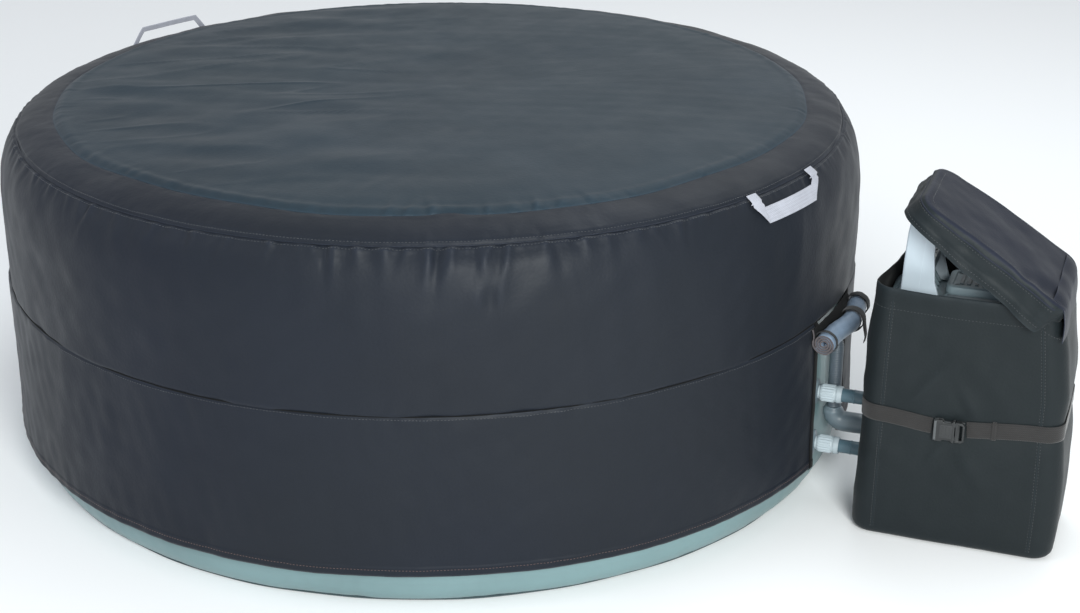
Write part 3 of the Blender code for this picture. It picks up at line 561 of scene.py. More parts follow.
def stitches(name, line, normals, material, body, length=0.0042, gap=0.0026, radius=0.00055, closed=False):
    """A row of thread capsules that lie along a line of points on a surface."""
    line = np.asarray(line, float)
    normals = np.asarray(normals, float)
    if closed:
        line = np.vstack([line, line[:1]])
        normals = np.vstack([normals, normals[:1]])
    s = lengths_along(line)
    count = int(s[-1] / (length + gap))
    at = (np.arange(count) + 0.5) * s[-1] / count
    centre = resample(line, at)
    ahead = resample(line, np.clip(at + 0.001, 0, s[-1])) - resample(line, np.clip(at - 0.001, 0, s[-1]))
    ahead /= np.linalg.norm(ahead, axis=1)[:, None]
    up = np.stack([np.interp(at, s, normals[:, k]) for k in range(3)], -1)
    up -= ahead * np.einsum("ij,ij->i", up, ahead)[:, None]
    up /= np.linalg.norm(up, axis=1)[:, None]
    across = np.cross(ahead, up)
    sides = 6
    around = np.arange(sides) / sides * TAU
    rings = [(-0.5, 0.0), (-0.42, 0.75), (-0.2, 1.0), (0.2, 1.0), (0.42, 0.75), (0.5, 0.0)]
    base, faces = [], []
    for k, (along, scale) in enumerate(rings):
        if scale == 0.0:
            base.append((along * length, 0.0, 0.0))
        else:
            base += [(along * length, cos(a) * radius * scale, sin(a) * radius * scale) for a in around]
    last = len(base) - 1
    for j in range(sides):
        faces.append([0, 1 + (j + 1) % sides, 1 + j, 1 + j])
        for ring in range(3):
            a = 1 + ring * sides
            faces.append([a + j, a + (j + 1) % sides, a + sides + (j + 1) % sides, a + sides + j])
        faces.append([last, last - sides + j, last - sides + (j + 1) % sides, last - sides + (j + 1) % sides])
    base = np.array(base)
    lift = 0.15 * radius - 0.9 * radius * (2 * base[:, 0] / length) ** 2
    v = (centre[:, None] + ahead[:, None] * base[None, :, :1] + across[:, None] * base[None, :, 1:2]
         + up[:, None] * (base[None, :, 2:] + lift[None, :, None]))
    all_faces = []
    template = [f if f[2] != f[3] else f[:3] for f in faces]
    size = len(base)
    for k in range(count):
        all_faces += [[i + k * size for i in f] for f in template]
    return build(name, v.reshape(-1, 3), all_faces, material, body, sharp=80)


def ribbon(name, line, normals, width, thickness, material, body, closed=False, crown=0.0, edges=None):
    """Flat tape along a line of points: normals point off its face, and its edges are softly rounded."""
    line = np.asarray(line, float)
    normals = np.asarray(normals, float)
    if closed:
        ahead = np.roll(line, -1, 0) - np.roll(line, 1, 0)
    else:
        ahead = np.gradient(line, axis=0)
    ahead /= np.linalg.norm(ahead, axis=1)[:, None]
    across = np.cross(normals, ahead)
    across /= np.linalg.norm(across, axis=1)[:, None]
    normals = np.cross(ahead, across)
    half = width / 2
    t = thickness / 2
    n = 9
    lanes = np.linspace(-1, 1, n)
    section = [(x * half, t * (1 - 0.35 * abs(x) ** 12) + crown * (1 - x * x)) for x in lanes]
    section += [(half + t * 0.35, 0.0)]
    section += [(x * half, -t * (1 - 0.35 * abs(x) ** 12) + crown * (1 - x * x)) for x in lanes[::-1]]
    section += [(-half - t * 0.35, 0.0)]
    section = np.array(section)
    scale = np.ones(len(line)) if edges is None else np.asarray(edges)
    p = (line[None] + across[None] * section[:, 0][:, None, None] * scale[None, :, None]
         + normals[None] * section[:, 1][:, None, None])
    s = lengths_along(np.vstack([line, line[:1]])) if closed else np.append(lengths_along(line), 0)
    v = np.append(section[:, 0], section[0, 0])
    return grid(name, p, material, body, wrap_rows=True, wrap_cols=closed, u=s, v=v, sharp=60)


def block(name, low, high, material, body, bevel=0.001, matrix=None, segments=3):
    """A moulded block with rounded edges."""
    bm = bmesh.new()
    bmesh.ops.create_cube(bm, size=1.0)
    low, high = Vector(low), Vector(high)
    for v in bm.verts:
        v.co = Vector([(low[k] + high[k]) / 2 + v.co[k] * (high[k] - low[k]) for k in range(3)])
    bmesh.ops.bevel(bm, geom=bm.edges[:], offset=bevel, segments=segments, affect="EDGES", profile=0.6)
    return from_bmesh(name, bm, material, body, matrix)


def from_bmesh(name, bm, material, body, matrix=None, sharp=40):
    if matrix is not None:
        bmesh.ops.transform(bm, matrix=matrix, verts=bm.verts)
    bmesh.ops.recalc_face_normals(bm, faces=bm.faces)
    mesh = bpy.data.meshes.new(name)
    bm.to_mesh(mesh)
    bm.free()
    for item in (material if isinstance(material, list) else [material]):
        mesh.materials.append(item)
    mesh.shade_smooth()
    mesh.set_sharp_from_angle(angle=radians(sharp))
    obj = bpy.data.objects.new(name, mesh)
    bpy.context.scene.collection.objects.link(obj)
    if body:
        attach(obj, body)
    return obj


def extruded(name, outline, low, high, material, body, bevel=0.002, axis="Y", segments=3, matrix=None):
    """A closed outline pushed along Y (outline in x, z) or X (in y, z) or Z (in x, y), with rounded edges."""
    bm = bmesh.new()
    place = {"Y": lambda a, b, h: (a, h, b), "X": lambda a, b, h: (h, a, b), "Z": lambda a, b,
             h: (a, b, h)}[axis]
    rings = [[bm.verts.new(place(a, b, h)) for a, b in outline] for h in (low, high)]
    count = len(outline)
    for k in range(count):
        bm.faces.new((rings[0][k], rings[0][(k + 1) % count], rings[1][(k + 1) % count], rings[1][k]))
    bm.faces.new(rings[0][::-1])
    bm.faces.new(rings[1])
    bmesh.ops.recalc_face_normals(bm, faces=bm.faces)
    if bevel:
        sharp_edges = [e for e in bm.edges if e.calc_face_angle(0) > radians(25)]
        bmesh.ops.bevel(bm, geom=sharp_edges, offset=bevel, segments=segments, affect="EDGES", profile=0.6)
    return from_bmesh(name, bm, material, body, matrix)


def cut(obj, cutter):
    """Cut one object by another now, so that nothing of the cutter is left."""
    modifier = obj.modifiers.new("cut", "BOOLEAN")
    modifier.object = cutter
    modifier.operation = "DIFFERENCE"
    modifier.solver = "EXACT"
    graph = bpy.context.evaluated_depsgraph_get()
    mesh = bpy.data.meshes.new_from_object(obj.evaluated_get(graph), preserve_all_data_layers=True,
                                           depsgraph=graph)
    obj.modifiers.clear()
    old, obj.data = obj.data, mesh
    mesh.name = obj.name
    bpy.data.meshes.remove(old)
    bpy.data.objects.remove(cutter, do_unlink=True)
    return obj


# ---- the jacket ---------------------------------------------------------------------------------
COLUMNS = 1080
OUTLINE = [(0, 0.799), (0.66, 0.799), (0.76, 0.796), (0.822, 0.790), (0.8504, 0.7835), (0.8773, 0.7795),
           (0.8979, 0.7745), (0.9149, 0.7675), (0.9343, 0.7533), (0.9517, 0.7319), (0.9671, 0.6946),
           (0.9761, 0.6417), (0.9790, 0.560), (0.980, 0.425), (0.987, 0.080)]
CREASE, SEAM, MIDDLE, HEM = 4, 8, 13, 14
SPAN = 24
PROFILE = smooth_line(OUTLINE, SPAN)
DOOR = (radians(-12.0), 0.0)
CLOTH = 0.005


def graded(length, start_band, end_band, fine, coarse):
    """Distances along a panel: fine steps near its two seams and coarse ones between."""
    parts = [np.arange(0, start_band, fine), np.arange(start_band, length - end_band, coarse),
             np.arange(length - end_band, length - fine / 2, fine), [length]]
    at = np.concatenate(parts)
    return at[np.concatenate([[True], np.diff(at) > fine * 0.4])]


def panel(name, first, last, bands, relief, az, material, wrap=True, slide=None, inner_rows=10):
    """One cloth panel of the jacket between two seams. relief gives how far each point stands proud."""
    line = PROFILE[first * SPAN:last * SPAN + 1]
    slopes = np.gradient(PROFILE, lengths_along(PROFILE), axis=0)[first * SPAN:last * SPAN + 1]
    s_line = lengths_along(line)
    length = s_line[-1]
    outer_s = graded(length, *bands)
    if first == 0:
        outer_s = outer_s[1:]
    inner_s = np.linspace(length, outer_s[0], inner_rows)
    sheets = []
    for s, depth in ((outer_s, 0.0), (inner_s, CLOTH)):
        p = np.stack([np.interp(s, s_line, line[:, k]) for k in (0, 1)], -1)
        t = np.stack([np.interp(s, s_line, slopes[:, k]) for k in (0, 1)], -1)
        t /= np.linalg.norm(t, axis=1)[:, None]
        n = np.stack([-t[:, 1], t[:, 0]], -1)
        place = np.stack([p[:, :1] * np.cos(az), p[:, :1] * np.sin(az), np.repeat(p[:, 1:], len(az), 1)], -1)
        high = relief(place, az, s, length) - depth
        shift = slide(az, s, length) if slide else np.zeros_like(high)
        r = p[:, :1] + n[:, :1] * high + t[:, :1] * shift
        z = p[:, 1:] + n[:, 1:] * high + t[:, 1:] * shift
        sheets.append(np.stack([r * np.cos(az), r * np.sin(az), z], -1))
    points = np.concatenate(sheets)
    if first == 0:
        middle = [(0, 0, PROFILE[0, 1]), (0, 0, PROFILE[0, 1] - CLOTH)]
        made = grid(name, points, material, "jacket", wrap_rows=False, poles=middle, sharp=60)
    else:
        made = grid(name, points, material, "jacket", wrap_cols=wrap, sharp=60)
    return made, sheets[0], outer_s


GATHER_WEIGHT = [(-180, 0.45), (-140, 0.50), (-128, 0.75), (-100, 0.80), (-80, 0.95), (-74, 1.45),
                 (-52, 1.40),
                 (-44, 0.80), (-20, 0.60), (0, 0.45), (60, 0.5), (120, 0.45), (180, 0.45)]


def gather_weight(az):
    deg = np.degrees(angle_gap(np.asarray(az), 0.0))
    return np.interp(deg, [a for a, _ in GATHER_WEIGHT], [b for _, b in GATHER_WEIGHT])


def gathers(az, s, seed, count, height, width, reach, radius):
    """Uneven ridges and pinches that start at a seam, where s is 0, and die out away from it."""
    rng = np.random.default_rng(seed)
    out = np.zeros((len(s), len(az)))
    for k in range(count):
        centre = TAU * (k + rng.uniform(-0.45, 0.45)) / count
        weight = gather_weight(centre)
        h = height * rng.uniform(0.25, 1.0) * weight
        w = width * rng.uniform(0.6, 1.5)
        long = reach * rng.uniform(0.45, 1.15) * (0.55 + 0.45 * weight)
        lean = rng.normal() * 0.22
        side = rng.choice((-1.0, 1.0))
        near = np.abs(angle_gap(az, centre)) * radius < 5 * w + 0.05
        x = angle_gap(az[near], centre)[None] * radius - lean * s[:, None]
        shape = bell(x, w) - 0.75 * bell(x - side * 1.35 * w, 0.75 * w)
        out[:, near] += h * shape * (ease(s / 0.007) * bell(s, long))[:, None]
    return out


def seam_roll(s, length, at_start=0.0022, at_end=0.0022, width=0.0035):
    """How far a panel turns in at its two seams."""
    return -(at_start * bell(s, width) + at_end * bell(s - length, width))[:, None]


def top_relief(place, az, s, length):
    right = place[..., 0] * 0.94 + place[..., 1] * 0.342
    back = -place[..., 0] * 0.342 + place[..., 1] * 0.94
    r = np.hypot(place[..., 0], place[..., 1])
    left = ease((0.18 - right) / 0.55)
    lying = np.stack([right * 0.22 + back * 0.10, back, place[..., 2] * 0], -1)
    skew = np.stack([right * 0.30, back - right * 0.22, place[..., 2] * 0], -1)
    inside = ease((0.83 - r) / 0.12)
    high = 0.0016 * waves(place, 0.62, 11) * inside
    high += (0.0017 * left + 0.0002) * waves(lying, 0.095, 12) * inside
    high += (0.0018 * left + 0.0003) * (ridged(skew, 0.17, 13, power=3.0) - 0.3) * inside
    high += 0.00022 * waves(place, 0.060, 14) * ease((0.85 - r) / 0.05)
    high += gathers(az, (length - s), 21, 118, 0.0026, 0.012, 0.050, 0.85)
    notch = bell(angle_gap(az, radians(-65.0)) * 0.85, 0.030)[None] * bell(length - s, 0.040)[:, None]
    high += -0.0038 * notch
    high += (0.0034 * bell(length - s - 0.018, 0.012))[:, None] + seam_roll(s, length, 0.0, 0.0014, 0.0040)
    return high


def crease_shift(az):
    """The crease of the domed top wanders in and out by a few millimetres."""
    wander = 0.0030 * np.sin(5 * az + 0.7) + 0.0024 * np.sin(9 * az + 2.1) + 0.0017 * np.sin(17 * az + 0.4)
    return wander - 0.010 * bell(angle_gap(az, radians(-65.0)) * 0.85, 0.035)


def top_slide(az, s, length):
    return crease_shift(az)[None] * (bell(length - s, 0.045))[:, None]


def shoulder_slide(az, s, length):
    return crease_shift(az)[None] * bell(s, 0.045)[:, None]


def shoulder_relief(place, az, s, length):
    high = 0.0009 * waves(place, 0.16, 31) * ease(s / 0.02)[:, None]
    high += 0.0002 * waves(place, 0.045, 32)
    high += gathers(az, s, 22, 105, 0.0008, 0.013, 0.030, 0.87)
    high += gathers(az, length - s, 23, 150, 0.0010, 0.010, 0.030, 0.93)
    high += (0.0012 * bell(length - s - 0.011, 0.008))[:, None]
    return high + seam_roll(s, length, 0.0014, 0.0020, 0.0040)


def upper_relief(place, az, s, length):
    down = s[:, None]
    bulge = 0.0012 * waves(place, 0.55, 41) + 0.0009 * waves(place, 0.24, 42, stretch=(1, 1, 0.5))
    high = bulge * ease(down / 0.05)
    high += 0.00045 * waves(place, 0.070, 43)
    high += gathers(az, s, 24, 132, 0.0054, 0.0115, 0.050, 0.945)
    high += gathers(az, s, 25, 210, 0.0022, 0.0065, 0.026, 0.945)
    high += gathers(az, length - s, 26, 90, 0.0008, 0.016, 0.035, 0.98)
    x = angle_gap(az, radians(-61.0))[None] * 0.97
    z = place[..., 2] - 0.660
    high += -0.0042 * bell(x, 0.011) * bell(z, 0.022) + 0.0022 * bell(x - 0.021, 0.013) * bell(z - 0.004,
                                                                                               0.03)
    high += 0.0018 * bell(x + 0.023, 0.014) * bell(z + 0.002, 0.028)
    lean = np.stack([place[..., 0], place[..., 1], place[..., 2] * 0.4], -1)
    high += 0.0007 * (ridged(lean, 0.30, 45, power=4.0) - 0.2) * ease((down - 0.03) / 0.06)
    high += (0.0010 * bell(s - 0.0085, 0.006))[:, None]
    return high + seam_roll(s, length, 0.0028, 0.0024)


def lower_relief(place, az, s, length):
    high = 0.0013 * waves(place, 0.50, 51) + 0.0008 * waves(place, 0.20, 52, stretch=(1, 1, 0.6))
    high += 0.0004 * waves(place, 0.060, 53)
    high += gathers(az, s, 27, 100, 0.0013, 0.015, 0.045, 0.98)
    high += gathers(az, length - s, 28, 80, 0.0009, 0.018, 0.050, 0.985)
    hem = ease((s - (length - 0.0240)) / 0.002)[:, None] * 0.0011
    roll = -(0.0035 * bell(length - s, 0.0030))[:, None]
    x = angle_gap(az, radians(-64.0))[None] * 0.98
    tuck = -0.0022 * bell(x, 0.05) * bell(s, 0.02)[:, None]
    return high + hem + roll + tuck + seam_roll(s, length, 0.0026, 0.0)


def row_near(at, distance):
    return int(np.argmin(np.abs(at - distance)))


def surface_normals(sheet, closed=True):
    """Outward normals of a grid of points."""
    down = np.gradient(sheet, axis=0)
    if closed:
        along = np.roll(sheet, -1, 1) - np.roll(sheet, 1, 1)
    else:
        along = np.gradient(sheet, axis=1)
    n = np.cross(down, along)
    n /= np.linalg.norm(n, axis=2)[..., None] + 1e-12
    outward = sheet - np.array((0, 0, 0.4))
    return n * np.sign(np.einsum("ijk,ijk->ij", n, outward))[..., None]


def seam_stitches(name, sheet, at, distance, material, body="jacket", closed=True, **sizes):
    row = row_near(at, distance)
    n = surface_normals(sheet, closed)[row]
    return stitches(name, sheet[row] + n * 0.0001, n, material, body, closed=closed, **sizes)


def welt(name, landmark, sink, radius, material, az, wrap=True):
    """Piping that lies in the groove of a seam."""
    r, z = OUTLINE[landmark]
    slope = np.gradient(PROFILE, lengths_along(PROFILE), axis=0)[landmark * SPAN]
    slope = slope / np.linalg.norm(slope)
    shift = crease_shift(az) if landmark == CREASE else np.zeros_like(az)
    r = r + slope[1] * sink + slope[0] * shift
    z = z - slope[0] * sink + slope[1] * shift
    sides = 10
    around = np.arange(sides) / sides * TAU
    rr = r[None] + radius * np.cos(around)[:, None]
    zz = z[None] + radius * np.sin(around)[:, None]
    p = np.stack([rr * np.cos(az), rr * np.sin(az), zz], -1)
    return grid(name, p, material, "jacket", wrap_cols=wrap, sharp=60)


def make_jacket(m):
    whole = np.arange(COLUMNS) / COLUMNS * TAU
    skirt = np.linspace(0.0, TAU + DOOR[0], int(COLUMNS * 0.967))
    top, _, _ = panel("top_panel", 0, CREASE, (0.0, 0.07, 0.0035, 0.014), top_relief, whole, m["top"],
                                  slide=top_slide, inner_rows=10)
    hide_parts("jacket_top")
    shoulder, shoulder_sheet, shoulder_s = panel("shoulder_panel", CREASE, SEAM, (0.03, 0.03, 0.0025, 0.004),
                                                 shoulder_relief, whole, m["jacket"], slide=shoulder_slide,
                                                 inner_rows=6)
    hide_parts("jacket_shoulder")
    upper, upper_sheet, upper_s = panel("upper_skirt_panel", SEAM, MIDDLE, (0.065, 0.014, 0.0025, 0.008),
                                        upper_relief, whole, m["jacket"])
    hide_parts("jacket_upper_skirt")
    lower, lower_sheet, lower_s = panel("lower_skirt_panel", MIDDLE, HEM, (0.014, 0.030, 0.002, 0.009),
                                        lower_relief, skirt, m["jacket"], wrap=False)
    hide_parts("jacket_lower_skirt")

    length = lengths_along(PROFILE[CREASE * SPAN:SEAM * SPAN + 1])[-1]
    parts = {
        "shoulder_stitching": seam_stitches("shoulder_stitching", shoulder_sheet, shoulder_s, length - 0.0065,
                                            m["thread"]),
        "upper_seam_stitching": seam_stitches("upper_seam_stitching", upper_sheet, upper_s, 0.0065,
                                              m["thread"]),
        "middle_stitching": seam_stitches("middle_stitching", lower_sheet, lower_s, 0.0062, m["thread"],
                                          closed=False),
    }
    hem_length = lower_s[-1]
    parts["hem_stitching"] = seam_stitches("hem_stitching", lower_sheet, lower_s, hem_length - 0.0165,
                                           m["red_thread"], closed=False)
    parts["shoulder_piping"] = welt("shoulder_piping", SEAM, 0.0014, 0.0016, m["jacket"], whole)
    # the welt's shape is real piping; its near-black colour is painted shade for the dark line in the middle
    # seam's groove
    parts["middle_seam_shade_welt"] = welt("middle_seam_shade_welt", MIDDLE, 0.0024, 0.0014, m["dark_lining"], whole)

    bindings = []
    for name, column, turn in (("near_jamb_binding", -1, 1), ("far_jamb_binding", 0, -1)):
        edge = lower_sheet[:, column]
        az = skirt[column]
        tangent = np.array((-sin(az), cos(az), 0.0)) * turn
        outward = np.array((cos(az), sin(az), 0.0))
        section = [(-0.0145, 0.0009), (-0.0145, 0.0024), (0.0000, 0.0027), (0.0016, 0.0014),
                   (0.0022, -0.0025),
                   (0.0016, -0.0064), (0.0, -0.0074), (-0.0145, -0.0071), (-0.0145, -0.0058),
                   (-0.0006, -0.0058),
                   (0.0006, -0.0025), (-0.0006, 0.0007)]
        p = np.array([edge + tangent * a + outward * b for a, b in section])
        s = np.append(lengths_along(edge), 0)
        v = np.append(np.linspace(0, 0.04, len(section)), 0.043)
        bindings.append(grid(name, p, m["dark_lining"], "jacket", wrap_cols=False, u=s, v=v, sharp=50))
    return {"top": top, "shoulder": shoulder, "upper": upper, "lower": lower, "bindings": bindings, **parts}


def make_handle(name, node, body, azimuth, rise, m, slim=False):
    """A webbing loop folded at its corners, and the two sewn tabs that it hangs from."""
    outer = [(-0.122, 0), (-0.1215, 0.010), (-0.088, 0.050), (0.088, 0.050), (0.1215, 0.010), (0.122, 0)]
    inner = [(-0.0965, 0), (-0.0955, 0.005), (-0.0885, 0.016), (0.0885, 0.016), (0.0955, 0.005), (0.0965, 0)]
    if slim:
        inner = [(-0.1090, 0), (-0.1085, 0.004), (-0.0825, 0.037), (0.0825, 0.037), (0.1085, 0.004),
                 (0.1090, 0)]
    steps = (4, 10, 44, 10, 4)
    q, raised = [], []
    for k, n in enumerate(steps):
        q += [k + i / n for i in range(n)]
        raised += [0.0009 * (k != 2)] * n
    q, raised = np.array(q + [5.0]), np.array(raised + [0.0009])
    lines = [np.stack([np.interp(q, range(6), [p[k] for p in line]) for k in (0, 1)], -1) for line in (outer,
                                                                                                       inner)]
    lanes = np.linspace(0, 1, 10)
    t = 0.0011
    hinge = np.array((0.9480 * cos(azimuth), 0.9480 * sin(azimuth), 0.7470))
    radial, tangent = np.array((cos(azimuth), sin(azimuth), 0)), np.array((-sin(azimuth), cos(azimuth), 0))
    down = -np.array((0, 0, 1.0)) * cos(rise) + radial * sin(rise)
    face = np.array((0, 0, 1.0)) * sin(rise) + radial * cos(rise)
    rows = []
    for side, order in ((1, lanes), (-1, lanes[::-1])):
        for lane in order:
            td = lines[0] * (1 - lane) + lines[1] * lane
            edge = 1 - 0.5 * abs(2 * lane - 1) ** 10
            sway = 0.0012 * np.sin(q * 2.1 + azimuth) + 0.0007 * np.sin(q * 5.3)
            height = side * t * edge + raised + sway + 0.0012
            p = hinge + tangent * td[:, :1] + down * td[:, 1:] + face * height[:, None]
            p -= radial * (td[:, :1] ** 2 / 1.92)
            rows.append(p)
    rows = np.array(rows)
    middle = 0.5 * (lines[0] + lines[1])
    u = np.append(lengths_along(middle), 0)
    v = np.concatenate([lanes * 0.03, 0.032 + lanes * 0.03, [0.064]])
    band = grid(name, rows, m["handle"], body, wrap_cols=False, u=u, v=v, sharp=35)
    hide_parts(node)
    sewn = []
    for k, (half, width) in enumerate(((-0.109, 0.028), (0.109, 0.030))):
        az = azimuth + half / 0.946
        out = np.array((cos(az), sin(az), 0.0))
        along = np.array((-sin(az), cos(az), 0.0))
        line = smooth_line([(0.9345, 0.7580), (0.9385, 0.7552), (0.9452, 0.7512), (0.9500, 0.7468),
                            (0.9478, 0.7438)], 5)
        place = out * line[:, :1] + np.array((0, 0, 1.0)) * line[:, 1:]
        slope = np.gradient(place, axis=0)
        normal = np.cross(along, slope)
        normal /= np.linalg.norm(normal, axis=1)[:, None]
        normal *= np.sign(normal[:, 2].mean())
        tab = ribbon(f"{name}_tab_{'ab'[k]}", place + normal * 0.0012, normal, width, 0.0022, m["handle"],
                     "jacket")
        sewn.append(tab)
    for lane, tag in ((1, "outer"), (8, "inner")):
        line = rows[lane][14:59]
        thread_line = stitches(f"{name}_{tag}_stitching", line + face * 0.0002,
                               np.repeat(face[None], len(line), 0),
                               m["pale_thread"], body, length=0.0034, gap=0.0022, radius=0.0004)
        sewn.append(thread_line)
    return band, sewn


def roll_bow(f):
    """How far the roll stands out at its middle, where the tie pulls it into a soft kink."""
    return 0.0155 * exp(-((f - 0.62) / 0.26) ** 2) - 0.0030


def make_door_roll(m):
    """The door rolled up under the seam it hangs from: a spiral sheet, its bound ends and its tie."""
    near, far = np.array((0.9850, -0.2410, 0.391)), np.array((1.0110, -0.018, 0.405))
    along = far - near
    width = np.linalg.norm(along)
    along /= width
    stations = np.linspace(0, 1, 46)
    up = np.array((0, 0, 1.0)) - along * along[2]
    up /= np.linalg.norm(up)
    out = np.cross(along, up)
    pitch, thick = 0.0052, 0.0040
    turns = np.linspace(0.0, 3.55, 150)
    mid = 0.0045 + pitch * turns
    angle = radians(168) + (turns[-1] - turns) * TAU
    spiral_out = np.stack([np.cos(angle) * (mid + thick / 2), np.sin(angle) * (mid + thick / 2)], -1)
    spiral_in = np.stack([np.cos(angle) * (mid - thick / 2), np.sin(angle) * (mid - thick / 2)], -1)
    tail = 12
    rows = []
    for k, f in enumerate(stations):
        tie = bell(f - 0.68, 0.05)
        sag = 0.0010 * sin(pi * f) + 0.0020 * tie
        squeeze = 1 - 0.07 * tie + 0.020 * sin(f * 9.0 + 1) + 0.012 * sin(f * 23.0)
        centre = near + along * f * width - np.array((0, 0, 1.0)) * sag + out * roll_bow(f)
        az = radians(-11.7) * (1 - f) + radians(-0.3) * f
        root = np.array((0.9825 * cos(az), 0.9825 * sin(az), 0.4235))
        offset = root - centre
        root2 = np.array((offset @ out, offset @ up))
        ring_out, ring_in = spiral_out * squeeze, spiral_in * squeeze
        end = 0.5 * (ring_out[-1] + ring_in[-1])
        lead = np.array((np.sin(angle[-1]), -np.cos(angle[-1]))) * 0.012
        g = np.linspace(0, 1, tail + 1)[1:, None]
        bridge = (1 - g) ** 2 * end + 2 * g * (1 - g) * (end + lead) + g ** 2 * root2
        step = np.gradient(np.vstack([end[None], bridge]), axis=0)[1:]
        step /= np.linalg.norm(step, axis=1)[:, None]
        side = np.stack([-step[:, 1], step[:, 0]], -1) * (thick / 2 - 0.0004)
        loop = np.vstack([ring_out, bridge + side, (bridge - side)[::-1], ring_in[::-1]])
        bump = 0.0005 * np.sin(loop[:, 0] * 310 + f * 21) * np.sin(f * 37 + loop[:, 1] * 190)
        loop = loop * (1 + bump / 0.024)[:, None]
        rows.append(centre + loop[:, :1] * out + loop[:, 1:] * up)
    rows = np.array(rows)
    sheet = rows.transpose(1, 0, 2)
    roll = grid("rolled_door", sheet, [m["lining"], m["foam"], m["dark_lining"]], "jacket", wrap_cols=False,
                sharp=50)
    ends = [len(f.vertices) > 4 for f in roll.data.polygons]
    around = [k // (len(stations) - 1) for k in range(len(ends))]
    hanging = [145 <= k <= 178 for k in around]
    roll.data.polygons.foreach_set("material_index", np.where(ends, 1,
                                                              np.where(hanging, 2, 0)).astype(np.int32))
    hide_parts("door_roll")
    for name, f, length in (("roll_near_binding", 0.050, 0.007), ("roll_far_binding", 0.930, 0.018)):
        c = near + along * width * f + out * roll_bow(f)
        section = round_section([(0.0238, 0.0), (0.0262, 0.0), (0.0262, length), (0.0238, length)], 0.0009)
        ring = turned(name, section, m["rubber"], "jacket", c, along, 60,
                      ripple=lambda a, r, h: 0.0003 * np.sin(7 * a) + 0.0002 * np.sin(13 * a + 1))
    f = 0.665
    c = near + along * width * f - np.array((0, 0, 1.0)) * 0.0030 + out * roll_bow(f)
    around = np.linspace(0, TAU, 60, endpoint=False)
    radius = 0.0262 + 0.0003 * np.sin(3 * around)
    loop = c + np.cos(around)[:, None] * radius[:, None] * out + np.sin(around)[:, None] * radius[:,
                                                                                                  None] * up
    normals = np.cos(around)[:, None] * out + np.sin(around)[:, None] * up
    tie = ribbon("roll_tie_loop", loop, normals, 0.021, 0.0020, m["tie"], "jacket", closed=True)
    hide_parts("roll_tie")
    a = radians(-8)
    start_point = c + (cos(a) * out + sin(a) * up) * 0.0280
    path = smooth_line([start_point + up * 0.006, start_point, start_point - up * 0.014 + out * 0.0018,
                        start_point - up * 0.030 + out * 0.0035, start_point - up * 0.046 + out * 0.0010], 6)
    normal = np.repeat(out[None], len(path), 0)
    tails = []
    for k, skew in enumerate((0.0, 0.010)):
        line = path - out * 0.0024 * k + along * (np.linspace(0, 1, len(path)) ** 2 * skew)[:, None]
        tails.append(ribbon(f"roll_tie_tail_{'ab'[k]}", line[:len(path) - 6 * k], normal[:len(path) - 6 * k],
                            0.0150,
                            0.0016, m["tie"], "jacket"))
    return roll, tie, tails


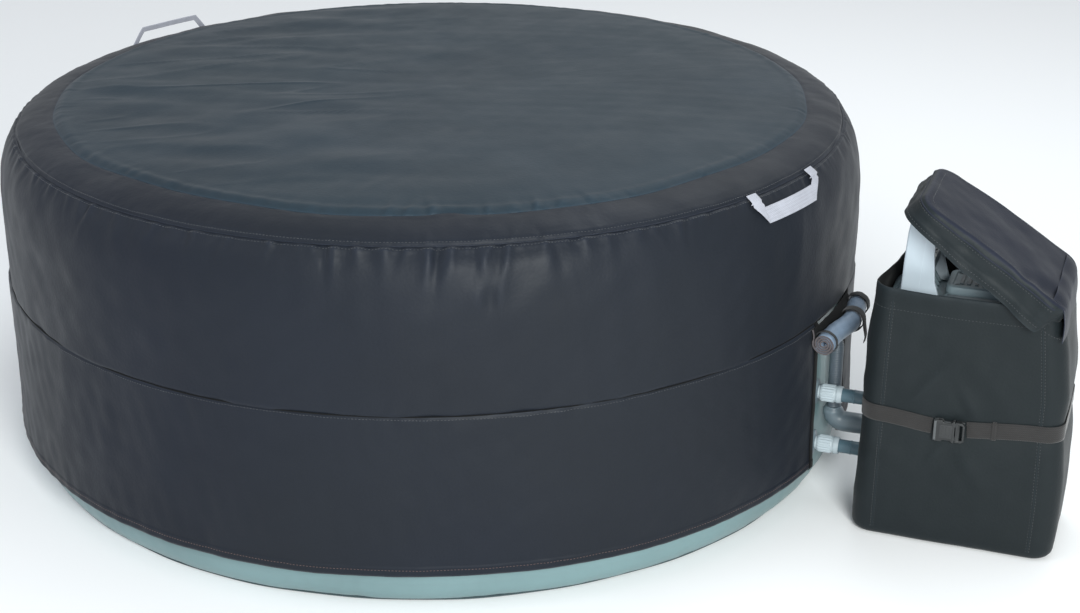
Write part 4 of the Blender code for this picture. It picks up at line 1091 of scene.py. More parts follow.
# ---- the tub ------------------------------------------------------------------------------------
def make_tub(m):
    """The inflated wall as one smooth skin, with its welds, and the ground mat under it."""
    outline = [(0.7300, 0.0046), (0.7225, 0.020), (0.7200, 0.050), (0.7200, 0.330), (0.7200, 0.620),
               (0.7225, 0.660),
               (0.7320, 0.688), (0.7500, 0.704), (0.780, 0.7095), (0.835, 0.7100), (0.890, 0.7085),
               (0.922, 0.700),
               (0.944, 0.684), (0.957, 0.660), (0.9618, 0.630), (0.9620, 0.400), (0.9620, 0.110),
               (0.9612, 0.080),
               (0.9580, 0.048), (0.9520, 0.022), (0.9420, 0.0075), (0.9330, 0.0044)]
    line = smooth_line(outline, 7)
    s = lengths_along(line)
    az = np.arange(720) / 720 * TAU
    slope = np.gradient(line, s, axis=0)
    normal = np.stack([-slope[:, 1], slope[:, 0]], -1)
    p = np.stack([line[:, :1] * np.cos(az), line[:, :1] * np.sin(az), np.repeat(line[:, 1:], len(az), 1)], -1)
    high = 0.0007 * waves(p, 0.30, 61) + 0.0003 * waves(p, 0.06, 62)
    inner = ease((0.80 - line[:, 0]) / 0.06)[:, None] * ease((line[:, 1] - 0.03) / 0.05)[:, None]
    inner = inner * ease((0.69 - line[:, 1]) / 0.04)[:, None]
    lobes = np.abs(np.sin(az * 18))[None] ** 0.6
    high += -0.0120 * inner * (1 - lobes)
    outer = ease((line[:, 0] - 0.93) / 0.02)[:, None]
    for z, depth, width in ((0.060, 0.0016, 0.0035), (0.672, 0.0016, 0.0035)):
        high += -depth * bell(line[:, 1] - z, width)[:, None] * outer
    pucker = np.sin(az * 150 + 2 * np.sin(az * 23))[None]
    near_weld = bell(line[:, 1] - 0.045, 0.014) + bell(line[:, 1] - 0.690, 0.016)
    high += 0.0005 * pucker * outer * near_weld[:, None]
    high = np.minimum(high, 0.0012)
    r = line[:, :1] + normal[:, :1] * high
    z = line[:, 1:] + normal[:, 1:] * high
    p = np.stack([r * np.cos(az), r * np.sin(az), z], -1)
    wall = grid("tub_skin", p, m["tub"], "tub", sharp=60)
    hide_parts("tub_wall")

    az = np.arange(360) / 360 * TAU
    mat_line = np.array([(0.45, 0.0003), (0.9340, 0.0003), (0.9380, 0.0010), (0.9392, 0.0022),
                         (0.9380, 0.0034),
                         (0.9340, 0.0040), (0.45, 0.0040)])
    wander = 0.0012 * np.sin(11 * az + 1) + 0.0009 * np.sin(27 * az)
    r = mat_line[:, :1] + wander * (mat_line[:, :1] > 0.9)
    p = np.stack([r * np.cos(az), r * np.sin(az), np.repeat(mat_line[:, 1:], len(az), 1)], -1)
    mat = grid("mat_pad", p, m["mat"], "tub", wrap_rows=False, poles=((0, 0, 0.0003), (0, 0, 0.0040)),
               sharp=60)
    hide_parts("ground_mat")

    lid_line = smooth_line([(0.0005, 0.7104), (0.45, 0.7104), (0.880, 0.7106), (0.905, 0.7120),
                            (0.9225, 0.7180),
                            (0.9275, 0.7260), (0.9240, 0.7370), (0.9130, 0.7470), (0.895, 0.7555),
                            (0.855, 0.7680),
                            (0.800, 0.7830), (0.760, 0.7846), (0.45, 0.7848), (0.0005, 0.7848)], 8)
    az = np.arange(540) / 540 * TAU
    flat = ease((0.86 - lid_line[:, 0]) / 0.05) * ease((lid_line[:, 0] - 0.05) / 0.1)
    rings = sum(bell(lid_line[:, 0] - c, 0.012) for c in (0.20, 0.42, 0.64))
    spokes = (0.5 + 0.5 * np.cos(az * 12))[None] ** 14
    sink = 0.0075 * flat[:, None] * np.maximum(rings[:, None], spokes * 0.8)
    z = lid_line[:, 1:] + sink * np.where(lid_line[:, 1:] < 0.745, 1.0, -1.0)
    p = np.stack([lid_line[:, :1] * np.cos(az), lid_line[:, :1] * np.sin(az), z], -1)
    lid = grid("lid_cushion", p, m["lid"], "jacket", wrap_rows=False, poles=((0, 0, 0.7104), (0, 0, 0.7848)),
               sharp=60)
    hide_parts("inflatable_lid")
    return wall, lid


# ---- pipes and hoses ----------------------------------------------------------------------------
WATER_PIPES = {"upper": ("water_outlet_sleeve", 0.237), "lower": ("water_inlet_sleeve", 0.114)}
WATER_Y, SLEEVE_X, COLLAR_X, NUT_X, PIPE_X = -0.145, 0.6860, 0.9590, 0.9655, 0.9870
BORE, TUBE, NUT_BORE, NUT_GRIP, LENGTH = 0.0126, 0.0148, 0.0158, 0.0189, 0.150
AIR_X, AIR_Y, AIR_LOW, AIR_HIGH, AIR_CORNER = 0.986, -0.098, 0.1883, 0.350, 0.022
ELBOW_Z, ELBOW_BEND = 0.152, 0.026


def make_water_pipe(name, sleeve_name, z, m):
    """One water line: the union nut with its grip, the pump's pipe, the tub's sleeve and the wall's collar."""
    along = (1, 0, 0)

    def grip(a, r, h, count=18):
        tooth = np.clip(np.sin(a * count) * 2.2, -1, 1)
        return 0.0006 * tooth * (r > 0.0184) * ((h > 0.0035) & (h < 0.0305))

    section = round_section([(NUT_BORE, 0.0), (0.0176, 0.0), (NUT_GRIP, 0.004), (NUT_GRIP, 0.030),
                             (0.0181, 0.032), (0.0181, 0.035), (0.0192, 0.037), (0.0185, 0.0475),
                             (NUT_BORE, 0.0475), (NUT_BORE, 0.0300), (0.0178, 0.0290), (0.0178, 0.0180),
                             (NUT_BORE, 0.0170)], 0.0006)
    nut = turned(f"nut_{name}", section, m["nut"], f"union_nut_{name}", (NUT_X, WATER_Y, z), along, 144, grip,
                 sharp=30)
    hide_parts(f"union_nut_{name}")

    section = round_section([(BORE, 0.0), (0.0172, 0.0), (0.0172, 0.0048), (TUBE, 0.0052), (TUBE, 0.0500),
                             (0.0155, 0.0505), (0.0155, 0.0540), (TUBE, 0.0545), (TUBE, LENGTH),
                             (BORE, LENGTH)], 0.0005)
    pipe = turned(f"water_pipe_{name}", section, m["pipe"], "pump", (PIPE_X, WATER_Y, z), along, 72)
    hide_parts(f"pipe_{name}")

    section = round_section([(BORE, 0.0), (TUBE, 0.0), (TUBE, 0.285), (0.0146, 0.297), (BORE, 0.298)], 0.0004)
    sleeve = turned(f"{sleeve_name}_tube", section, m["nut"], "tub", (SLEEVE_X, WATER_Y, z), along, 64)
    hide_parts(sleeve_name)

    section = round_section([(0.0151, -0.014), (0.0290, -0.014), (0.0275, -0.0010), (0.0200, 0.0015),
                             (0.0151, 0.0020)], 0.0006)
    collar = turned(f"wall_collar_{name}", section, m["elbow"], "tub", (COLLAR_X, WATER_Y, z), along, 64)


def make_air_hose(m):
    """The ribbed hose that rises inside the door opening and turns into the tub's wall."""
    arc = [(AIR_X - AIR_CORNER + AIR_CORNER * cos(a), AIR_Y, AIR_HIGH - AIR_CORNER + AIR_CORNER * sin(a))
           for a in np.linspace(0, pi / 2, 12)]
    path = np.array([(AIR_X, AIR_Y, AIR_LOW)] + arc + [(0.940, AIR_Y, AIR_HIGH)])
    path = resample(path, np.linspace(0, 0.198, 240))
    s = lengths_along(path)
    ribs = 0.0146 + 0.00035 * np.clip(np.sin(s / 0.0042 * TAU) * 1.6, -1, 1)
    hose = tube_along("air_hose_tube", path, ribs, m["hose"], "tub", sides=40, hollow=0.0130, sharp=50)
    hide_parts("air_hose")


def make_air_elbow(m):
    """The pump's smooth elbow, with a narrow lip where the hose starts."""
    arc = [(AIR_X + ELBOW_BEND + ELBOW_BEND * cos(a), AIR_Y, ELBOW_Z + ELBOW_BEND + ELBOW_BEND * sin(a))
           for a in np.linspace(-pi / 2, -pi, 16)]
    run = [(x, AIR_Y, ELBOW_Z) for x in (1.137, 1.120, 1.060, 1.020)]
    path = np.array(run + arc + [(AIR_X, AIR_Y, 0.182), (AIR_X, AIR_Y, 0.188)])
    path = resample(path, np.linspace(0, lengths_along(path)[-1], 70))
    s = lengths_along(path)
    radii = 0.0226 - 0.0046 * ease((s - s[-1] + 0.010) / 0.008) - 0.0008 * bell(s - 0.085, 0.003)
    elbow = tube_along("air_elbow_tube", path, radii, m["elbow"], "pump", sides=36, hollow=0.0151, sharp=50)
    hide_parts("air_elbow")


def make_pipes(m):
    for name, (sleeve_name, z) in WATER_PIPES.items():
        make_water_pipe(name, sleeve_name, z, m)
    make_air_hose(m)
    make_air_elbow(m)


# ---- the pump's soft cover ----------------------------------------------------------------------
BAG_X, BAG_Y, BAG_CORNER = (1.078, 1.488), (-0.310, -0.050), 0.040
BAG_HEIGHT, BAG_SHOULDER, BAG_LEAN = 0.565, 0.360, 0.030
STRAP_WIDTH, BUCKLE_Z, KEEPER_X = 0.0355, 0.274, 1.352
HINGE = (1.461, 0.540)
FLAP_ANGLE = radians(36.6)


def rounded_rectangle(x_range, y_range, corner, count):
    """Points round a rectangle with rounded corners, evenly spaced, from the middle of +X."""
    (x0, x1), (y0, y1) = x_range, y_range
    arcs = []
    for cx, cy, start in ((x1 - corner, y1 - corner, 0), (x0 + corner, y1 - corner, 90),
                          (x0 + corner, y0 + corner, 180),
                          (x1 - corner, y0 + corner, 270)):
        a = np.radians(np.linspace(start, start + 90, 24))
        arcs.append(np.stack([cx + corner * np.cos(a), cy + corner * np.sin(a)], -1))
    line = np.vstack([[(x1, (y0 + y1) / 2)]] + arcs + [[(x1, (y0 + y1) / 2)]])
    return resample(line, np.linspace(0, lengths_along(line)[-1], count, endpoint=False))


def outline_normals(line):
    ahead = np.roll(line, -1, 0) - np.roll(line, 1, 0)
    n = np.stack([ahead[:, 1], -ahead[:, 0]], -1)
    return n / np.linalg.norm(n, axis=1)[:, None]


def strap_height(x, y):
    """Height of the strap's middle: it sags towards the buckle on the front, and rises round the corners."""
    front = ease((-0.245 - y) / 0.05)
    return 0.2885 - 0.0145 * front * np.exp(-((x - 1.268) / 0.105) ** 2) + 0.004 * (x - 1.08) / 0.4


def bag_surface(line, n, z, seed=71):
    """Points of the bag's outer cloth at heights z (rows) for an outline (columns)."""
    x, y = line[:, 0][None], line[:, 1][None]
    z = np.broadcast_to(z, (len(z), len(line))) if z.ndim == 2 else np.repeat(z[:, None], len(line), 1)
    lean = BAG_LEAN * np.clip((z - BAG_SHOULDER) / (BAG_HEIGHT - BAG_SHOULDER), 0, 1) ** 1.2
    reach = np.clip((x - BAG_X[0]) / (BAG_X[1] - BAG_X[0]), 0, 1) ** 3
    px = x - lean * reach
    left = bell(x - BAG_X[0], 0.06)
    px = px + left * (0.012 * np.clip((z - 0.30) / 0.26, 0, 1) ** 1.5 - 0.004 * bell(z, 0.12))
    px = px + left * 0.028 * ease((y + 0.300) / 0.20) * np.clip((z - 0.40) / 0.165, 0, 1) ** 1.2
    px = px + reach * 0.006 * bell(z - 0.13, 0.14)
    flat = np.stack([px, np.broadcast_to(y, px.shape), z], -1)
    middle_x = np.cos(np.clip((x - 1.28) / 0.235, -1, 1) * pi / 2)
    middle_y = np.cos(np.clip((y + 0.18) / 0.155, -1, 1) * pi / 2)
    middle = np.where(np.abs(n[:, 1])[None] > 0.7, middle_x, middle_y)
    strap = strap_height(x, y)
    puff = 0.0045 * middle * (1 - bell(z - strap, 0.055)) * ease(z / 0.05)
    cinch = -0.0030 * bell(z - strap, 0.022) - 0.0015 * bell(z - strap, 0.045)
    high = puff + cinch + (0.0015 * waves(flat, 0.17, seed) + 0.0005 * waves(flat, 0.060,
                                                                             seed + 1)) * (1 - 0.6 * reach)
    front = ease((-n[:, 1][None] - 0.5) / 0.4)
    for cx, cz, slope, length, width, height in (
            (1.205, 0.352, 1.30, 0.055, 0.014, 0.0030), (1.170, 0.400, 0.95, 0.070, 0.018, 0.0024),
            (1.300, 0.336, -1.6, 0.045, 0.012, 0.0026), (1.345, 0.380, -1.1, 0.070, 0.020, 0.0018),
            (1.235, 0.205, 1.7, 0.050, 0.013, 0.0028), (1.310, 0.190, -1.5, 0.055, 0.016, 0.0022),
            (1.120, 0.215, -0.6, 0.060, 0.018, 0.0016), (1.420, 0.240, 0.5, 0.055, 0.015, 0.0016),
            (1.400, 0.460, 0.8, 0.080, 0.022, 0.0018), (1.150, 0.500, -0.4, 0.060, 0.020, 0.0016)):
        dx, dz = x - cx, z - cz
        size = hypot(1.0, slope)
        along, across = (dx + dz * slope) / size, (dz - dx * slope) / size
        furrow = bell(across, width) - 0.5 * bell(across + 1.5 * width, width)
        high = high + front * height * bell(along, length) * furrow
    back = ease((n[:, 1][None] - 0.5) / 0.4)
    high = high + back * 0.0022 * waves(flat * np.array((1, 1, 0.6)), 0.11, seed + 5) * bell(z - strap, 0.12)
    corner = np.clip(np.abs(n[:, 0] * n[:, 1]) * 2, 0, 1)[None]
    high = high + 0.0012 * corner * bell(z - strap, 0.03)
    return flat + np.stack([n[:, 0][None] * high, n[:, 1][None] * high, 0 * high], -1)


def rim_height(x):
    """The rim dips a little between its ends on the front, and slopes down under the flap's hinge."""
    under_flap = HINGE[1] + np.tan(FLAP_ANGLE) * np.clip(HINGE[0] - x, 0, 1) - 0.0085
    return np.minimum(BAG_HEIGHT + 0.0015 - 0.0035 * np.cos(np.clip((x - 1.27) / 0.2, -1, 1) * pi / 2),
                      under_flap)


def make_bag(m):
    count = 320
    line = rounded_rectangle(BAG_X, BAG_Y, BAG_CORNER, count)
    n = outline_normals(line)
    top = rim_height(line[:, 0] - 0.03 * ((line[:, 0] - BAG_X[0]) / 0.41) ** 3)
    share = np.linspace(0, 1, 76)
    z_rows = 0.020 + (top[None] - 0.020) * share[:, None]
    wall = bag_surface(line, n, z_rows)
    centre = np.array((1.283, -0.180))
    rows = []
    for scale, z in ((0.30, 0.0022), (0.62, 0.0012), (0.84, 0.0008)):
        rows.append(np.column_stack([centre + (line - centre) * scale, np.full(count, z)]))
    for angle in np.radians((90, 66, 44, 22)):
        inset = 0.020 * (1 - cos(angle))
        rows.append(np.column_stack([line - n * inset + (wall[0, :, :2] - line) * cos(angle),
                                     np.full(count, 0.0205 - 0.020 * sin(angle))]))
    n3 = np.column_stack([n, np.zeros(count)])
    hem = ease((share - 0.945) / 0.006)[:, None, None] * 0.0011
    outer = wall + n3[None] * hem
    outer[-1] -= n3 * 0.0012
    inner_share = np.linspace(1, 0.04, 26)
    inner = np.stack([np.stack([np.interp(inner_share, share, wall[:, j, k]) for k in range(3)], -1)
                      for j in range(count)], 1) - n3[None] * 0.0038
    lip = 0.5 * (outer[-1] + inner[0])
    lip[:, 2] += 0.0012
    rows = np.array(rows)
    floor = []
    for scale, z in ((0.95, 0.0085), (0.80, 0.0062), (0.40, 0.0060)):
        floor.append(np.column_stack([centre + (inner[-1, :, :2] - centre) * scale, np.full(count, z)]))
    p = np.concatenate([rows, outer, lip[None], inner, np.array(floor)])
    lined = np.zeros(len(p) - 1, int)
    lined[len(rows) + len(outer):] = 1
    bag = grid("bag_shell", p, [m["bag"], m["dark_lining"]], "pump", wrap_rows=False,
               poles=((centre[0], centre[1], 0.0025), (centre[0], centre[1], 0.0062)), sharp=70,
               slot_of_row=lined)
    bm = bmesh.new()
    bmesh.ops.create_cube(bm, size=1.0)
    low, high = Vector((1.050, -0.200, 0.060)), Vector((1.104, -0.068, 0.255))
    for v in bm.verts:
        v.co = Vector([(low[k] + high[k]) / 2 + v.co[k] * (high[k] - low[k]) for k in range(3)])
    upright = [e for e in bm.edges if abs(e.verts[0].co.x - e.verts[1].co.x) > 0.01]
    bmesh.ops.bevel(bm, geom=upright, offset=0.018, segments=6, affect="EDGES")
    cut(bag, from_bmesh("cut_pipe_slot", bm, m["dark_lining"], None))
    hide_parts("cover_bag")

    parts = []
    hem_row = int(0.93 * (len(share) - 1))
    hem = stitches("rim_stitching", outer[hem_row], n3, m["thread"], "pump", closed=True)
    parts.append(hem)
    for k, column in enumerate((count * 7 // 8, count // 8, count * 3 // 8, count * 5 // 8)):
        edge = wall[:, column]
        normal = np.repeat(n3[column][None], len(edge), 0)
        along = np.repeat(np.array((n3[column][1], -n3[column][0], 0.0))[None], len(edge), 0)
        for side in (-1, 1):
            thread_line = stitches(f"corner_stitching_{'abcd'[k]}_{'lr'[side > 0]}",
                                   edge + along * 0.0034 * side
                                   - normal * 0.0001, normal, m["thread"], "pump")
            parts.append(thread_line)
        sides = 8
        around = np.arange(sides) / sides * TAU
        ring = [edge + normal * (cos(a) * 0.0012 - 0.0003) + along * sin(a) * 0.0016 for a in around]
        parts.append(grid(f"corner_seam_{'abcd'[k]}", np.array(ring), m["bag"], "pump", wrap_cols=False))
    slot_line = rounded_rectangle((-0.200, -0.068), (0.060, 0.255), 0.018, 120)
    slot_n = outline_normals(slot_line)
    x = wall_x_at(wall, slot_line)
    centre_line = np.column_stack([x - 0.0016, slot_line])
    across = np.column_stack([np.zeros(120), slot_n])
    section = [(-0.0085, 0.0004), (-0.0085, 0.0016), (0.001, 0.0018), (0.0022, -0.0015), (0.001, -0.0052),
               (-0.0085, -0.0050), (-0.0085, -0.0040), (-0.0005, -0.0040), (-0.0005, 0.0004)]
    ring = np.array([centre_line - across * a - np.array((1.0, 0, 0)) * b for a, b in section])
    s = lengths_along(np.vstack([slot_line, slot_line[:1]]))
    slot_edge = grid("pipe_slot_binding", ring, m["binding"], "pump", u=s,
                     v=np.linspace(0, 0.03, len(section) + 1))
    return bag, parts


def wall_x_at(wall, slot_line):
    """x of the bag's inner side (towards the tub) at points (y, z) of the slot's outline."""
    facing = wall[:, np.abs(wall[0, :, 0] - wall[0, :, 0].min()) < 0.012]
    flat = facing.reshape(-1, 3)
    out = []
    for y, z in slot_line:
        distance = (flat[:, 1] - y) ** 2 + (flat[:, 2] - z) ** 2
        nearest = np.argsort(distance)[:4]
        weight = 1 / (distance[nearest] + 1e-8)
        out.append(np.sum(flat[nearest, 0] * weight) / weight.sum())
    return np.array(out)


def make_strap(m):
    """Webbing round the bag, open where the buckle sits, with its keeper and the side-release buckle."""
    count = 420
    dense = rounded_rectangle(BAG_X, BAG_Y, BAG_CORNER, count)
    dn = outline_normals(dense)
    heights = strap_height(dense[:, 0], dense[:, 1])
    edge = []
    for offset in (-0.014, 0.0, 0.014):
        rows = bag_surface(dense, dn, (heights + offset)[None])
        edge.append(rows[0])
    line3 = np.max([np.einsum("ij,ij->i", e[:, :2] - dense, dn) for e in edge], 0)
    line3 = line3 + 0.0004
    kernel = np.ones(15) / 15
    line3 = np.convolve(np.concatenate([line3[-7:], line3, line3[:7]]), kernel, "valid")
    place = np.column_stack([dense + dn * (line3 + 0.0016)[:, None], heights])
    lean = edge[1][:, :2] - (dense + dn * np.einsum("ij,ij->i", edge[1][:, :2] - dense, dn)[:, None])
    place[:, :2] += lean
    normals = np.column_stack([dn, np.zeros(count)])
    front = place[:, 1] < BAG_Y[0] + 0.012
    gap = front & (place[:, 0] > 1.2305) & (place[:, 0] < 1.2965)
    order = np.roll(np.arange(count), -int(np.where(gap)[0].max()) - 1)
    order = order[~gap[order]]
    strap = ribbon("bag_strap", place[order], normals[order], STRAP_WIDTH, 0.0017, m["strap"], "pump")
    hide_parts("cover_strap")
    near = int(np.argmin(np.abs(place[:, 0] - KEEPER_X) + 10 * (place[:, 1] > -0.28)))
    base, nn = place[near], normals[near]
    t = np.linspace(0, TAU, 40, endpoint=False)
    up = np.array((0, 0, 1.0))
    loop = base + nn * (0.0028 * np.sign(np.cos(t)) * np.abs(np.cos(t)) ** 0.35)[:, None] \
        + up * (0.0195 * np.sign(np.sin(t)) * np.abs(np.sin(t)) ** 0.6)[:, None]
    normal = nn * np.cos(t)[:, None] + up * np.sin(t)[:, None]
    keeper = ribbon("strap_keeper", loop, normal, 0.009, 0.0014, m["strap"], "pump", closed=True)
    make_buckle(m, BAG_Y[0], BUCKLE_Z)
    return strap, [keeper]


def make_buckle(m, front, z):
    """Socket and plug of a side-release buckle, with bowed shoulders and a raised, plain frame."""
    x0, meet, x1 = 1.2330, 1.2770, 1.2960
    face, back = front - 0.0142, front - 0.0006
    half = 0.0240

    def socket_outline(inset=0.0):
        left = x0 + inset
        pts = [(left + 0.004, z - half + inset), (x0 + 0.0165, z - half + inset),
               (x0 + 0.0205, z - half + 0.0042 + inset),
               (x0 + 0.0355, z - half + 0.0042 + inset), (x0 + 0.0395, z - half + inset),
               (meet - 0.0010 - inset, z - half + inset),
               (meet - 0.0010 - inset, z + half - inset), (x0 + 0.0395, z + half - inset),
               (x0 + 0.0355, z + half - 0.0042 - inset), (x0 + 0.0205, z + half - 0.0042 - inset),
               (x0 + 0.0165, z + half - inset), (left + 0.004, z + half - inset),
               (left, z + half - 0.004 - inset),
               (left, z - half + 0.004 + inset)]
        return pts

    shell = extruded("buckle_socket_shell", socket_outline(), face, face + 0.0034, m["buckle"], "pump",
                     bevel=0.0011)
    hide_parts("buckle_socket")
    pieces = [extruded("buckle_socket_frame", [(x0 + 0.0125, z - 0.0150), (meet - 0.006, z - 0.0150),
                                               (meet - 0.006, z + 0.0150),
                                               (x0 + 0.0125, z + 0.0150)], face - 0.0007, face + 0.0004,
                       m["buckle"], "pump",
                       bevel=0.0005),
              extruded("buckle_socket_back", socket_outline(0.0006), back - 0.0034, back, m["buckle"], "pump",
                       bevel=0.0008),
              # socket bar and lip in the paler plastic: painted highlight
              block("buckle_socket_bar", (x0 + 0.0005, face + 0.0015, z - 0.0225),
                    (x0 + 0.0085, back - 0.001, z + 0.0225),
                    m["buckle_light"], "pump", 0.0018),
              block("buckle_socket_lip", (x0 + 0.0010, face - 0.0012, z - 0.0215),
                    (x0 + 0.0060, face + 0.0016, z + 0.0215),
                    m["buckle_light"], "pump", 0.0010)]
    for k in range(3):
        x = x0 + 0.0175 + k * 0.0075
        pieces.append(block(f"buckle_rib_{'abc'[k]}", (x, face - 0.0012, z - 0.0105),
                            (x + 0.0030, face - 0.0002, z + 0.0105), m["buckle"], "pump", 0.0004))

    cheek = 0.0225
    body_outline = [(meet + 0.0004, z - cheek), (x1 - 0.006, z - cheek), (x1, z - cheek + 0.006),
                    (x1, z + cheek - 0.006),
                    (x1 - 0.006, z + cheek), (meet + 0.0004, z + cheek)]
    plug = extruded("buckle_plug_frame", body_outline, face, front - 0.0072, m["buckle"], "buckle_plug",
                    bevel=0.0012)
    slot_cut = block("cut_plug_slot", (x1 - 0.0105, face - 0.01, z - 0.0170),
                     (x1 - 0.0045, front + 0.01, z + 0.0170),
                     m["buckle"], None, 0.0012)
    cut(plug, slot_cut)
    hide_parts("buckle_plug")
    for side, tag in ((-1, "low"), (1, "high")):
        zc = z + side * 0.0150
        tip = z + side * 0.0205
        # prongs in the paler plastic: painted highlight at the side-release windows
        prong = extruded(f"buckle_prong_{tag}", [(meet + 0.002, zc - 0.0042), (meet + 0.002, zc + 0.0042),
                                                 (x0 + 0.0350, zc + 0.0042 if side > 0 else zc + 0.0036),
                                                 (x0 + 0.0330, max(tip, zc + 0.0036)),
                                                 (x0 + 0.0210, max(tip, zc + 0.0030)),
                                                 (x0 + 0.0165, zc + 0.0020), (x0 + 0.0165, zc - 0.0020),
                                                 (x0 + 0.0210, min(tip, zc - 0.0030)),
                                                 (x0 + 0.0330, min(tip, zc - 0.0036)),
                                                 (x0 + 0.0350, zc - 0.0042 if side < 0 else zc - 0.0036)],
                         front - 0.0118, front - 0.0076, m["buckle_light"], "buckle_plug", bevel=0.0008)
        foot = block(f"buckle_cheek_{tag}", (meet + 0.0006, front - 0.0078, z + side * 0.0203 - 0.0021),
                     (x1 - 0.001, front - 0.0008, z + side * 0.0203 + 0.0021), m["buckle"], "buckle_plug",
                     0.0008)


def flap_place(points):
    """From the flap's own axes (x away from the hinge, z up from the panel) to its raised place."""
    c, s = cos(FLAP_ANGLE), sin(FLAP_ANGLE)
    p = np.asarray(points)
    return np.stack([HINGE[0] + p[..., 0] * c + p[..., 2] * s, p[..., 1],
                     HINGE[1] - p[..., 0] * s + p[..., 2] * c], -1)


def flap_outline(count):
    """The flap's plan: its near side bulges out towards the hinge, and its free corners are well rounded."""
    line = rounded_rectangle((-0.3655, -0.002), (-0.324, -0.046), 0.050, count)
    towards_hinge = np.clip((line[:, 0] + 0.354) / 0.35, 0, 1)
    near = ease((-0.185 - line[:, 1]) / 0.12)
    far = ease((line[:, 1] + 0.185) / 0.12)
    line[:, 1] += -near * 0.016 * towards_hinge ** 1.3 - far * (0.020 * (1 - towards_hinge))
    return line


def flap_rise(lx):
    """The panel lifts off the hinge's plane towards the hinge, then turns down to it in a soft shoulder."""
    ramp = 0.026 * np.clip(1 + lx / 0.354, 0, 1)
    near = np.clip(-lx / 0.034, 0, 1)
    return ramp * np.sqrt(np.clip(1 - (1 - near) ** 2, 0, 1))


def make_hinge_strip(m):
    """Cloth that runs from the bag's outer side over the hinge line on to the flap."""
    path = smooth_line([(1.4700, 0.500), (1.4710, 0.515), (1.4705, 0.532), (1.4685, 0.552), (1.4640, 0.5720),
                        (1.4545, 0.5850), (1.4420, 0.5935)], 6)
    slope = np.gradient(path, axis=0)
    slope /= np.linalg.norm(slope, axis=1)[:, None]
    normal = np.stack([slope[:, 1], -slope[:, 0]], -1)
    y = np.linspace(-0.3220, -0.0600, 70)
    rows = []
    for side, order in ((1, slice(None)), (-1, slice(None, None, -1))):
        for (x, z), (nx, nz) in zip(path[order], normal[order]):
            place = np.stack([np.full_like(y, x), y, np.full_like(y, z)], -1)
            height = 0.0008 * side + 0.0007 * waves(place, 0.07, 91) - 0.004 * bell(y + 0.322, 0.018) \
                - 0.004 * bell(y + 0.060, 0.018)
            rows.append(place + np.stack([nx * height, 0 * y, nz * height], -1))
    strip = grid("hinge_strip", np.array(rows), m["flap"], None, wrap_cols=False, sharp=60)
    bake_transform(strip)
    return strip


